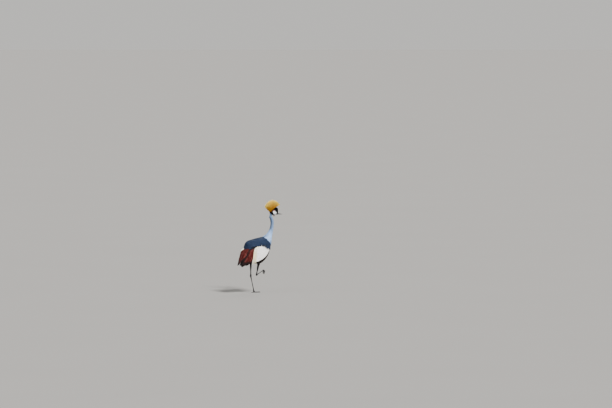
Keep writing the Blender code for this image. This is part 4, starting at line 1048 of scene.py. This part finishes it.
points, _ = places_of(crest)
points = points.reshape(BRISTLES, -1, 3)
share = np.einsum("nvk,nk->nv", points - roots[:, None], heading) / reach[:, None]
sag = np.stack((heading[:, 0] * 0.6, heading[:, 1] * 0.6, -np.ones(BRISTLES)), 1)
sideways = unit(np.cross(heading, UPWARD))
wave = draw.normal(0.0, 0.0030, BRISTLES)
flat_reach = np.linalg.norm(heading[:, :2], axis=1)
points += sag[:, None] * (CREST_DROOP * flat_reach[:, None] * share ** 2)[..., None]
points += sideways[:, None] * (wave[:, None] * share ** 2)[..., None]
move(crest, placed(HEAD, points.reshape(-1, 3)))
# Painted shade at the roots where the bristles crowd: brown there, then gold, then straw at the ends
tint = mixed(CREST_ROOT_SHADE, CREST_GOLD, soft_step(0.05, 0.27, share))
tint = mixed(tint, CREST_STRAW, soft_step(0.45, 1.0, share))
paint(crest, tint * draw.uniform(0.78, 1.12, BRISTLES)[:, None, None])


def bake_map(mesh, roots, across, along):
    """The map that the colours are baked to: a small patch for each feather at its root's place."""
    layer = mesh.uv_layers.new(name="OFBake")
    places = roots[:, None] + np.stack((across * 0.0015, (along - 0.5) * 0.003), -1)
    index = np.zeros(len(mesh.loops), np.int32)
    mesh.loops.foreach_get("vertex_index", index)
    layer.data.foreach_set("uv", places.reshape(-1, 2)[index].astype(np.float32).ravel())


corner = np.tile(np.linspace(-1.0, 1.0, points.shape[1]), (BRISTLES, 1))
bake_map(crest, map_place, corner, share)
flecks = noise(tree, Scale=700.0, Detail=4.0)
tint = painted(tree)
rise = node(tree, "ShaderNodeBump", Strength=0.3, Distance=0.0003, Height=flecks)
wire(tree, shader, Normal=rise.outputs["Normal"],
     Base_Color=scaled(tree, tint, calculate(tree, "MULTIPLY_ADD", flecks, 0.35, 0.83)))
crest.shade_smooth()
add_piece("crest_bristles", crest, None, "crest_gold", "crest")


# Small feathers
# Short overlapping body feathers of slate on the torso and belly, pale grey hackles down the
# neck, black velvet on the crown and throat, and soft grey feathers on the thighs. Each has a
# shaft, a curved vane and a soft downy root, and lies back over the next.
def blade(rows, columns):
    """One closed feather as a sheet with a back and a front that meet at the edge."""
    across, row, face, index = [], [], [], {}
    for sheet in (1, -1):
        for r in range(rows + 1):
            for c in range(columns + 1):
                edge = r in (0, rows) or c in (0, columns)
                if sheet == -1 and edge:
                    index[r, c, -1] = index[r, c, 1]
                    continue
                index[r, c, sheet] = len(across)
                across.append(2.0 * c / columns - 1.0)
                row.append(r)
                face.append(0.0 if edge else float(sheet))
    faces = []
    for sheet in (1, -1):
        for r in range(rows):
            for c in range(columns):
                quad = [index[spot] for spot in ((r, c, sheet), (r, c + 1, sheet), (r + 1, c + 1, sheet),
                                                 (r + 1, c, sheet))][::sheet]
                faces += [quad[:3], [quad[0], quad[2], quad[3]]]
    return np.array(across), np.array(row), np.array(face), np.array(faces)


def feathers(shape, spines, normals, half_width, widths, thick, camber, tilt, ragged=1.0):
    """Points of many feathers: each a sheet along its spine, curved across and tilted."""
    across, row, face, _ = shape
    along = unit(np.gradient(spines, axis=1))
    side = unit(np.cross(along, normals))
    out = unit(np.cross(side, along))
    lean = np.radians(tilt) * np.ones(len(spines))
    wide = side * np.cos(lean)[:, None, None] + out * np.sin(lean)[:, None, None]
    up = np.cross(wide, along)
    vane = (half_width[:, None] * np.asarray(widths)[None])[:, row]
    reach = vane * across[None] * ragged
    lift = face[None] * thick - camber * np.abs(across[None]) ** 2 * vane
    return spines[:, row] + wide[:, row] * reach[..., None] + up[:, row] * lift[..., None]


def feather_mesh(name, shape, points, tint, roots, places):
    """Joined feathers as one mesh, with their maps along the vane and for the bake."""
    across, row, _, faces = shape
    count, each = points.shape[:2]
    whole = (faces[None] + (np.arange(count) * each)[:, None, None]).reshape(-1, 3)
    along = np.asarray(places)[row]
    vane = np.tile(np.stack((across * 0.5 + 0.5, along), 1), (count, 1, 1))
    mesh = mesh_of(name, points, whole, tint, vane=vane)
    bake_map(mesh, roots, np.tile(across, (count, 1)), np.tile(along, (count, 1)))
    mesh.set_sharp_from_angle(angle=math.radians(70.0))
    return mesh


# Shaft and barbs of a feather, drawn from its own map
barbs, taken, given = new_group("barbs", Barbs=60.0, Contrast=0.3, Shaft=(0.5, 0.5, 0.5, 1.0),
                                Shaft_share=0.5)
own_map = node(barbs, "ShaderNodeUVMap", uv_map="vane").outputs["UV"]
split = node(barbs, "ShaderNodeSeparateXYZ", Vector=own_map).outputs
cloud = noise(barbs, Scale=38.0, Detail=4.0)
sideways = calculate(barbs, "ABSOLUTE", calculate(barbs, "SUBTRACT", split["X"], 0.5))
slanted = calculate(barbs, "SUBTRACT", split["Y"], calculate(barbs, "MULTIPLY", sideways, 0.35))
wobble = calculate(barbs, "MULTIPLY_ADD", cloud, 0.10, slanted)
wobble = calculate(barbs, "MULTIPLY", wobble, taken["Barbs"])
ripple = calculate(barbs, "SINE", calculate(barbs, "MULTIPLY", wobble, 6.2832))
ripple = calculate(barbs, "MULTIPLY_ADD", ripple, 0.5, 0.5)
dim = calculate(barbs, "SUBTRACT", 1.0, calculate(barbs, "MULTIPLY", ripple, taken["Contrast"]))
mottle = calculate(barbs, "MULTIPLY_ADD", cloud, 0.40, 0.82)
vane_colour = scaled(barbs, taken["Tint"], calculate(barbs, "MULTIPLY", dim, mottle))
shaft_width = calculate(barbs, "MULTIPLY_ADD", split["Y"], -0.020, 0.034)
shaft = calculate(barbs, "LESS_THAN", sideways, shaft_width)
shaft_share = calculate(barbs, "MULTIPLY", shaft, taken["Shaft share"])
wire(barbs, given, Color=blended(barbs, shaft_share, vane_colour, taken["Shaft"]),
     Roughness=calculate(barbs, "MULTIPLY_ADD", ripple, 0.15, 0.60),
     Height=calculate(barbs, "MULTIPLY_ADD", shaft, 1.5, ripple))


def feather_material(name, count, contrast, shaft, shaft_share, bump, sheen):
    return surfaced(name, barbs, (bump, 0.0003), 0.08, sheen, Barbs=count, Contrast=contrast,
                    Shaft=(*shaft, 1.0), Shaft_share=shaft_share)


def evenly(allowed, spacing, seed):
    """Random spots on the allowed skin, no nearer than a spacing: their triangle and place in it."""
    draw = np.random.default_rng(seed)
    corners = skin_triangles[allowed[skin_triangles].all(1)]
    a, b, c = (skin_points[corners[:, k]] for k in range(3))
    area = np.linalg.norm(np.cross(b - a, c - a), axis=1)
    tries = int(3.0 * area.sum() / 2.0 / spacing ** 2)
    corners = corners[draw.choice(len(corners), tries, p=area / area.sum())]
    weights = draw.dirichlet((1.0, 1.0, 1.0), tries)
    spots = np.einsum("nk,nkx->nx", weights, skin_points[corners])
    near = tree_of(spots)
    taken, chosen = np.zeros(tries, bool), []
    for index in range(tries):
        if not taken[index]:
            chosen.append(index)
            for _, other, _ in near.find_range(spots[index], spacing):
                taken[other] = True
    return corners[chosen], weights[chosen]


def strewn(name, allowed, material, slot, spacing, seed, length, half_width, lift, curl, sag=0.0, spread=0.16,
           root_shade=0.62, tip_shade=1.0, vary=0.10, widths=(0.35, 0.92, 1.0, 0.80, 0.20), thick=0.0003):
    """Feathers over the allowed skin, along its lie, as one mesh. They rise from it by the lift and
    bend back to it by the curl, and sag is how far their own weight draws them down."""
    corners, weights = evenly(allowed, spacing, seed)
    draw = np.random.default_rng(seed)
    rows = len(widths) - 1
    root, normal, lie = (np.einsum("nk,nkx->nx", weights, field[corners])
                         for field in (skin_points, skin_normals, skin_lie))
    normal = unit(normal)
    lie = unit(unit(lie) + draw.normal(0.0, spread, lie.shape) + np.array((0.0, 0.0, -sag)))
    lie = unit(lie - np.einsum("nk,nk->n", lie, normal)[:, None] * normal)
    places = np.linspace(0.0, 1.0, rows + 1) ** 0.85
    count = len(root)
    length = np.broadcast_to(length, len(skin_points))[corners[:, 0]]
    sunk = np.minimum(0.0008, 0.04 * length)[:, None]
    length = length * draw.uniform(0.82, 1.14, count)
    half_width = half_width * draw.uniform(0.88, 1.10, count)
    rise = lift * places[None] - curl * places[None] ** 2
    rise = rise + draw.normal(0.0, 0.02, (count, 1)) * places[None]
    steps = lie[:, None] * places[None, :, None] + normal[:, None] * rise[..., None]
    spines = (root - normal * sunk)[:, None] + steps * length[:, None, None]
    shape = blade(rows, 2)
    normals = np.repeat(normal[:, None], rows + 1, 1)
    points = feathers(shape, spines, normals, half_width, widths, thick, 0.28, draw.normal(0.0, 7.0, count))
    along = places[shape[1]]
    tone = draw.normal(1.0, vary, count)[:, None]
    tone = tone * (root_shade + (1.0 - root_shade) * soft_step(0.15, 0.75, along))[None]
    tone = tone * (1.0 + (tip_shade - 1.0) * soft_step(0.7, 1.0, along))[None]
    tint = np.clip(markings(root)[:, None] * tone[..., None], 0.0, 0.95)
    mesh = feather_mesh(name, shape, points, tint, skin_map[corners[:, 0]], places)
    add_piece(name, mesh, material, slot)


def kinds(*names):
    return np.isin(skin_form, names)


head_spot = placed(HEAD_BACK, skin_points)
head_cheek = cheek_shape(head_spot)
body_place = along_body(skin_points)
eye_far = np.hypot(head_spot[:, 0] - EYE_AT[0], head_spot[:, 2] - EYE_AT[2])
eye_far += 0.03 * (np.abs(head_spot[:, 1]) < 0.010)
bill_near = (head_spot[:, 0] > 0.060) & (np.hypot(head_spot[:, 1] / 0.95, head_spot[:, 2] - 0.0145) < 0.0105)
thigh_low = eased(np.array([(t[2],) for t in THIGH_LEFT]), BARE_FROM)[0, 0]
soft_plume = feather_material("soft_plume", 9.0, 0.22, (0.03, 0.04, 0.07), 0.30, 0.3, 0.02)
hackle_plume = feather_material("hackle_plume", 7.0, 0.16, (0.38, 0.47, 0.62), 0.35, 0.25, 0.05)
velvet_plume = feather_material("velvet_plume", 4.0, 0.35, (0.01, 0.01, 0.01), 0.3, 0.3, 0.02)

strewn("body_feathers", kinds("body", "rump") & (body_place < 8.8), soft_plume, "slate_feathers",
       spacing=0.0060, seed=3, length=0.033, half_width=0.0076, lift=0.22, curl=0.24, sag=0.10,
       root_shade=0.55, tip_shade=1.12)
strewn("breast_hackles", kinds("body") & (body_place >= 8.5) & (body_place < 12.2), hackle_plume,
       "neck_feathers", spacing=0.0041, seed=4, length=0.034, half_width=0.0040, lift=0.24, curl=0.17,
       sag=0.22, spread=0.07, root_shade=0.70, tip_shade=1.10, vary=0.08,
       widths=(0.40, 1.0, 0.80, 0.48, 0.10))

nape_top = 0.002 + 0.018 * soft_step(0.022, -0.006, head_spot[:, 0])
allowed = (kinds("body") & (body_place >= 12.0)) | (kinds("nape", "skull") & (head_spot[:, 2] < nape_top))
allowed &= (head_spot[:, 0] < 0.022) | kinds("body")
near_top = soft_step(-0.018, -0.002, head_spot[:, 2] - nape_top) * ~kinds("body")
strewn("neck_hackles", allowed, hackle_plume, "neck_feathers", spacing=0.0025, seed=5,
       length=0.0165 * (1.0 - 0.60 * near_top), half_width=0.0021, lift=0.24, curl=0.13, sag=0.05,
       spread=0.06, root_shade=0.72, tip_shade=1.10, vary=0.07, widths=(0.5, 1.0, 0.75, 0.15))
strewn("thigh_feathers", kinds("thigh") & (skin_points[:, 2] > thigh_low), soft_plume, "slate_feathers",
       spacing=0.0038, seed=6, length=0.021, half_width=0.0036, lift=0.24, curl=0.15, sag=0.2, spread=0.12,
       root_shade=0.6, tip_shade=1.1)

bare = (head_cheek > 0.55) | (eye_far < 0.0092) | bill_near
allowed = kinds("skull", "nape") & ~bare & (head_spot[:, 2] > nape_top - 0.016) & (head_spot[:, 0] > -0.03)
strewn("face_velvet", allowed, velvet_plume, "velvet_black", spacing=0.00138, seed=7, length=0.0050,
       half_width=0.00095, lift=0.48, curl=0.20, spread=0.24, vary=0.25, widths=(0.7, 1.0, 0.30),
       thick=0.00015)
strewn("cushion_velvet", kinds("cushion") & ~bare, velvet_plume, "velvet_black", spacing=0.00135, seed=8,
       length=0.0046, half_width=0.00085, lift=0.95, curl=0.25, spread=0.25, vary=0.25,
       widths=(0.7, 1.0, 0.45), thick=0.00015)


# Wings
# Folded wings: black primaries along the lower edge, chestnut inner flight feathers over the tail,
# rows of white and cream coverts laid like tiles, straw plumes at their rear, a saddle of slate
# scapulars on top and the neck's grey plumes over its front. Each row lies over the last.
BLACK, CHESTNUT, CHESTNUT_EDGE = (0.0045, 0.0030, 0.0032), (0.050, 0.0036, 0.0028), (0.360, 0.110, 0.100)
WHITE, CREAM, STRAW = (0.88, 0.88, 0.87), (0.86, 0.82, 0.68), (0.86, 0.77, 0.50)
SADDLE, PALE_GREY = (0.0085, 0.0180, 0.044), (0.255, 0.390, 0.640)
# Each row: its colours, how many, first and last root, first and last tip (angle, then a height
# in metres or 1 plus a rise), half width, height over the hull at the root and at the tip, tilt.
# The tips of the saddle's lowest row, given as 0, follow the line below the table
WING_ROWS = [
    ("black", 9, (45, 0.490), (70, 0.474), (95, 0.331), (112, 0.350), 0.0080, (0.0012, 0.0016), 5.0),
    ("black", 12, (122, 0.480), (168, 0.460), (133, 0.322), (173, 0.322), 0.0110, (0.0002, 0.0010), 6.0),
    ("maroon", 13, (118, 0.512), (152, 0.500), (130, 0.330), (171, 0.332), 0.0110, (0.0010, 0.0022), 7.0),
    ("chestnut", 12, (117, 0.528), (151, 0.515), (125, 0.370), (164, 0.362), 0.0104, (0.0014, 0.0036), 6.0),
    ("chestnut", 11, (117, 0.540), (150, 0.530), (121, 0.415), (152, 0.415), 0.0098, (0.0016, 0.0046), 5.0),
    ("maroon", 10, (178, 0.500), (152, 0.512), (178, 0.344), (156, 0.392), 0.0104, (0.0036, 0.0066), 7.0),
    ("chestnut", 9, (177, 0.515), (152, 0.528), (177, 0.388), (151, 0.436), 0.0098, (0.0038, 0.0076), 6.0),
    ("chestnut", 8, (176, 0.528), (151, 0.538), (176, 0.440), (148, 0.472), 0.0092, (0.0040, 0.0082), 5.0),
    ("white", 19, (50, 0.500), (108, 0.503), (95, 0.374), (109, 0.356), 0.0090, (0.0016, 0.0040), 4.0),
    ("white", 18, (49, 0.508), (110, 0.514), (88, 0.405), (112, 0.392), 0.0090, (0.0018, 0.0050), 4.0),
    ("white", 17, (47, 0.520), (112, 0.526), (79, 0.440), (115, 0.430), 0.0090, (0.0020, 0.0056), 4.0),
    ("white", 16, (45, 0.530), (112, 0.536), (68, 0.468), (118, 0.462), 0.0088, (0.0020, 0.0060), 4.0),
    ("white", 15, (43, 0.538), (110, 0.546), (58, 0.492), (118, 0.488), 0.0082, (0.0020, 0.0064), 4.0),
    ("white", 14, (42, 0.545), (104, 0.556), (51, 0.514), (113, 0.510), 0.0076, (0.0020, 0.0066), 4.0),
    ("straw", 36, (109, 0.540), (122, 0.545), (104, 0.334), (117, 0.326), 0.0016, (0.0046, 0.0076), 0.0),
    ("saddle", 26, (38, 1.42), (176, 1.44), (44, 0.0), (178, 0.0), 0.0108, (0.0026, 0.0088), 4.0),
    ("slate", 25, (40, 1.54), (175, 1.56), (50, 1.28), (177, 1.33), 0.0104, (0.0026, 0.0092), 4.0),
    ("slate", 24, (42, 1.66), (174, 1.68), (56, 1.41), (176, 1.46), 0.0102, (0.0028, 0.0092), 4.0),
    ("slate", 22, (45, 1.78), (172, 1.79), (63, 1.55), (175, 1.59), 0.0100, (0.0028, 0.0090), 4.0),
    ("slate", 19, (50, 1.88), (170, 1.89), (72, 1.69), (173, 1.72), 0.0098, (0.0026, 0.0084), 3.0),
    ("slate", 16, (56, 1.95), (168, 1.96), (84, 1.82), (171, 1.84), 0.0094, (0.0024, 0.0076), 2.0),
    ("grey", 20, (24, 1.66), (55, 1.84), (22, 0.530), (52, 0.590), 0.0042, (0.0036, 0.0104), 2.0),
    ("grey", 22, (26, 1.84), (60, 1.95), (25, 0.572), (60, 0.617), 0.0042, (0.0034, 0.0108), 2.0)]
SLATE_EDGE = np.array([(40, 0.492), (50, 0.492), (60, 0.494), (70, 0.503), (83, 0.524), (93, 0.537),
                       (112, 0.533), (126, 0.517), (143, 0.504), (157, 0.505), (165, 0.509), (177, 0.519)])
# A few white feathers that show past the rump on the left wing, in place of slate tips from an angle
WHITE_PATCH = ("white", 7, (130, 0.540), (164, 0.535), (137, 0.474), (163, 0.480), 0.0085,
               (0.004, 0.0100), 4.0)
PATCH_FROM = 142.0
VANE_SINK, VANE_ROWS, VANE_COLUMNS, VANE_THICK, VANE_CAMBER = 0.0045, 12, 6, 0.0004, 0.16
VANE_ROOT = 0.16                # share of a vane's length over which its root comes up
VANE_WIDTHS = [0.42, 0.72, 0.90, 0.97, 1.0, 1.0, 1.0, 0.99, 0.97, 0.92, 0.80, 0.58, 0.22]
PLUME_WIDTHS = [0.7, 1.0, 1.0, 1.0, 0.95, 0.9, 0.85, 0.75, 0.65, 0.5, 0.4, 0.25, 0.10]
UNEVEN_TIPS = {"maroon": 0.05, "chestnut": 0.06, "slate": 0.030, "saddle": 0.020}
VANE_COLOURS = {"black": (BLACK, BLACK), "white": (WHITE, CREAM), "straw": (STRAW, STRAW),
                "slate": (SADDLE, SADDLE), "saddle": (SADDLE, SADDLE), "grey": (PALE_GREY, PALE_GREY)}


def vane_tint(kind, share, draw):
    """Colours over one vane: share is its place in the row, front to back."""
    across, along = shape[0], shape[1] / VANE_ROWS
    if kind in ("chestnut", "maroon"):
        edge = soft_step(0.45, 0.95, across * (1.0 if draw.random() < 0.7 else -1.0))
        colour = mixed(CHESTNUT, CHESTNUT_EDGE, edge * draw.uniform(0.10, 0.95))
        black_tip = soft_step(0.66, 0.86, along) * draw.uniform(0.75, 1.0) if kind == "maroon" else 0.0
        dark = black_tip + 0.75 * soft_step(0.30, 0.0, along) + draw.uniform(0.0, 0.62) ** 2
        # Painted shadow: the vanes at the gap between the two lobes of chestnut feathers are darkened near
        # black
        dark = dark + 0.85 * float(soft_step(0.74, 0.96, share))
        colour = mixed(colour, BLACK, np.clip(dark, 0.0, 1.0))
    else:
        start, end = VANE_COLOURS[kind]
        colour = mixed(start, end, soft_step(0.62, 1.0, np.full(len(across), share)))
        if kind == "straw":
            colour = mixed(colour, WHITE, 0.75 * soft_step(0.5, 0.0, along))
        if kind == "saddle":
            # Painted shade: a dark band on the tips of the saddle's middle vanes, along its lower edge
            shaded = float(soft_step(0.12, 0.32, share) * soft_step(0.86, 0.66, share))
            colour = colour * (1.0 - 0.90 * shaded * soft_step(0.20, 0.55, along))[:, None]
        if kind == "slate":
            rim = soft_step(0.7, 1.0, np.abs(across)) * soft_step(0.3, 0.8, along)
            colour = colour * (1.0 + 0.45 * rim)[:, None]
    fade = 0.72 + 0.28 * soft_step(0.10, 0.55, along)
    return np.clip(colour * fade[:, None] * draw.normal(1.0, 0.07), 0.0, 0.92)


def between(first, last, share):
    """Values a share of the way from the first ones to the last."""
    return [a + (b - a) * share for a, b in zip(first, last)]


def rooted(lift, t):
    """Height of a vane over the hull at a place along it, its root sunk under the rows before."""
    return (lift + VANE_SINK) * min(1.0, t / VANE_ROOT) - VANE_SINK


shape = blade(VANE_ROWS, VANE_COLUMNS)
vane_places = np.linspace(0.0, 1.0, VANE_ROWS + 1)
draw = np.random.default_rng(5)
spines, normals, wide, widths, leans, tint, roots, sides = [], [], [], [], [], [], [], []
for kind, count, root_a, root_b, tip_a, tip_b, half_width, layers, tilt in [*WING_ROWS, WHITE_PATCH]:
    for share in np.linspace(0.0, 1.0, count):
        root, tip = between(root_a, root_b, share), between(tip_a, tip_b, share)
        tip[0] += draw.uniform(-1.1, 1.1)
        edge = tip[1] == 0.0
        if edge:
            tip[1] = float(np.interp(tip[0], SLATE_EDGE[:, 0], SLATE_EDGE[:, 1]))
        root[1], tip[1] = wing_rise(*root), wing_rise(*tip)
        uneven = UNEVEN_TIPS.get(kind, 0.014)
        tip[1] += draw.uniform(-uneven, uneven)
        if kind == "straw":
            tip[1] += abs(draw.normal(0.0, 0.08))
        spine, normal = [], []
        above = draw.uniform(-0.0003, 0.0003) + (draw.uniform(0.0, 0.0012) if kind == "straw" else 0.0)
        for t in vane_places:
            angle, rise = between(root, tip, t)
            lift = layers[0] + (layers[1] - layers[0]) * t + above
            spine.append(tuple(wing_spot(angle, rise, rooted(lift, t))))
            normal.append(tuple(wing_normal(angle, rise)))
        spines.append(spine)
        normals.append(normal)
        wide.append(half_width * draw.uniform(0.90, 1.08))
        widths.append(PLUME_WIDTHS if kind == "straw" else VANE_WIDTHS)
        leans.append(tilt + draw.normal(0.0, 0.8))
        tint.append(vane_tint(kind, share, draw))
        roots.append(((root[0] - 40.0) / 140.0, max(0.0, root[1])))
        sides.append("right" if edge and tip[0] > PATCH_FROM else "both")
sides[-WHITE_PATCH[1]:] = ["left"] * WHITE_PATCH[1]
spines, normals, wide, tint, roots, sides = (np.array(x) for x in (spines, normals, wide, tint, roots, sides))


def ragged_edge(count, seed):
    """Uneven edges: each vane a little wavy, with a few splits where the barbs part."""
    draw = np.random.default_rng(seed)
    edge = np.abs(shape[0]) > 0.99
    wave = 1.0 + draw.normal(0.0, 0.025, (count, len(shape[0])))
    split = draw.random((count, len(shape[0]))) < 0.06
    return np.where(edge[None], np.where(split, wave * 0.86, wave), 1.0)


vane_points = np.array([
    feathers(shape, spines[k:k + 1] + shift, normals[k:k + 1], wide[k:k + 1], widths[k], VANE_THICK,
             VANE_CAMBER, leans[k], ragged_edge(1, 100 + k))[0] for k in range(len(spines))])
wing_vane = feather_material("wing_vane", 34.0, 0.16, (0.13, 0.10, 0.08), 0.20, 0.28, 0.01)
for side, other, mirror in (("left", "right", 1.0), ("right", "left", -1.0)):
    own = sides != other
    wing = feather_mesh(f"wing_{side}_feathers", shape, vane_points[own] * (1.0, mirror, 1.0), tint[own],
                        off_the_edge(roots[own]), vane_places)
    if side == "right":
        wing.flip_normals()
    add_piece(f"wing_{side}_feathers", wing, wing_vane, "wing_feathers", f"wing_{side}")


# Mantle
# Slate feathers down the middle of the back, over the roots of both wings' saddles. They are
# rooted in the skin of the back in staggered rows and lie straight back.
MANTLE_FRONT, MANTLE_BACK, MANTLE_STEP, MANTLE_LONG, MANTLE_WIDE = 0.206, -0.088, 0.0100, 0.044, 0.0100
MANTLE_END = -0.074             # where the last of them bend down over the rump


def back_spot(x, y):
    """A point on the hull's top, by its place along and across the bird."""
    reach = WING_FRONT if x > WING_MIDDLE else WING_REAR - WING_WAIST
    forward = min(0.94, abs(x - WING_MIDDLE) / reach) ** (WING_BULGE / 2.0)
    wide = WING_HALF_WIDTH * (1.0 - forward ** 2) ** (1.0 / WING_BULGE)
    aside = min(0.97, abs(y) / wide) ** (WING_ROUND / 2.0)
    back = float(np.interp(x, BACK_LINE[:, 0], BACK_LINE[:, 1]))
    over = max(0.0, MANTLE_END - x)
    height = WING_WIDEST + (back - WING_WIDEST) * (1.0 - aside ** 2) ** (1.0 / WING_ROUND)
    return Vector((x + 0.80 * over, y, height - 0.85 * over))


draw = np.random.default_rng(21)
spines, normals, tint, roots = [], [], [], []
for row, x in enumerate(np.arange(MANTLE_FRONT, MANTLE_BACK, -MANTLE_STEP)):
    for y in ((-0.030, -0.010, 0.010, 0.030) if row % 2 else (-0.020, 0.0, 0.020)):
        start = (x + draw.uniform(-0.002, 0.002), y + draw.uniform(-0.002, 0.002))
        length = MANTLE_LONG * draw.uniform(0.90, 1.10)
        spine, normal = [], []
        for t in vane_places:
            px, py = start[0] - length * t, start[1] * (1.0 + 0.25 * t)
            spot = back_spot(px, py)
            ahead = back_spot(px + 0.002, py) - back_spot(px - 0.002, py)
            out = ahead.cross(back_spot(px, py + 0.002) - back_spot(px, py - 0.002)).normalized()
            lift = 0.0030 + 0.0062 * t + 0.0050 * float(soft_step(-0.02, -0.06, start[0]))
            spine.append(tuple(spot + out * rooted(lift, t)))
            normal.append(tuple(out))
        spines.append(spine)
        normals.append(normal)
        tint.append(vane_tint("slate", 0.5, draw))
        roots.append(tree_map[finder.find(Vector(spine[0]) + ORIGIN_SHIFT)[1]])
spines, normals = np.array(spines) + shift, np.array(normals)
wide = MANTLE_WIDE * draw.uniform(0.92, 1.08, len(spines))
points = feathers(shape, spines, normals, wide, VANE_WIDTHS, VANE_THICK, VANE_CAMBER,
                  draw.normal(0.0, 3.0, len(spines)), ragged_edge(len(spines), 31))
mantle = feather_mesh("mantle_feathers", shape, points, np.array(tint), np.array(roots), vane_places)
add_piece("mantle_feathers", mantle, wing_vane, "slate_feathers")


# Tail
# Twelve broad black tail feathers on a short root, the middle pair on top and each next one
# under it, almost hidden by the chestnut feathers of the wings.
TAIL_FEATHERS, TAIL_VANE, TAIL_STEP = 12, 0.0112, 0.0010
TAIL_SPREAD_ROOT, TAIL_SPREAD_TIP, TAIL_ROUND, TAIL_ARCH = 0.009, 0.021, 0.014, 0.003
draw = np.random.default_rng(9)
along, across, over = (np.array(v) for v in (tail_along, ACROSS, tail_over))
spines, tint, roots = [], [], []
for k in range(TAIL_FEATHERS):
    u = (-1.0) ** k * ((k + 1) // 2) / (TAIL_FEATHERS // 2)
    level = over * (TAIL_STEP * (TAIL_FEATHERS / 2.0 - k))
    start = np.array(TAIL_ROOT) + shift + across * (TAIL_SPREAD_ROOT * u) + level
    end = np.array(TAIL_TIP) + shift + across * (TAIL_SPREAD_TIP * u) + level - along * (TAIL_ROUND * u * u)
    t = vane_places[:, None]
    spines.append(start + (end - start) * t + over * (TAIL_ARCH * np.sin(np.pi * t)))
    tint.append(vane_tint("black", 0.0, draw))
    roots.append((0.5 + 0.45 * u, 0.5 + 0.03 * (k % 3)))
spines = np.array(spines)
normals = np.tile(over, (*spines.shape[:2], 1))
points = feathers(shape, spines, normals, np.full(TAIL_FEATHERS, TAIL_VANE), VANE_WIDTHS, VANE_THICK, 0.12,
                  0.0, ragged_edge(TAIL_FEATHERS, 12))
tail_vane = feather_material("tail_vane", 40.0, 0.25, (0.03, 0.028, 0.027), 0.6, 0.3, 0.2)
tail_mesh = feather_mesh("tail_feathers", shape, points, np.array(tint), np.array(roots), vane_places)
add_piece("tail_fan", tail_mesh, tail_vane, "tail_feathers", "tail")
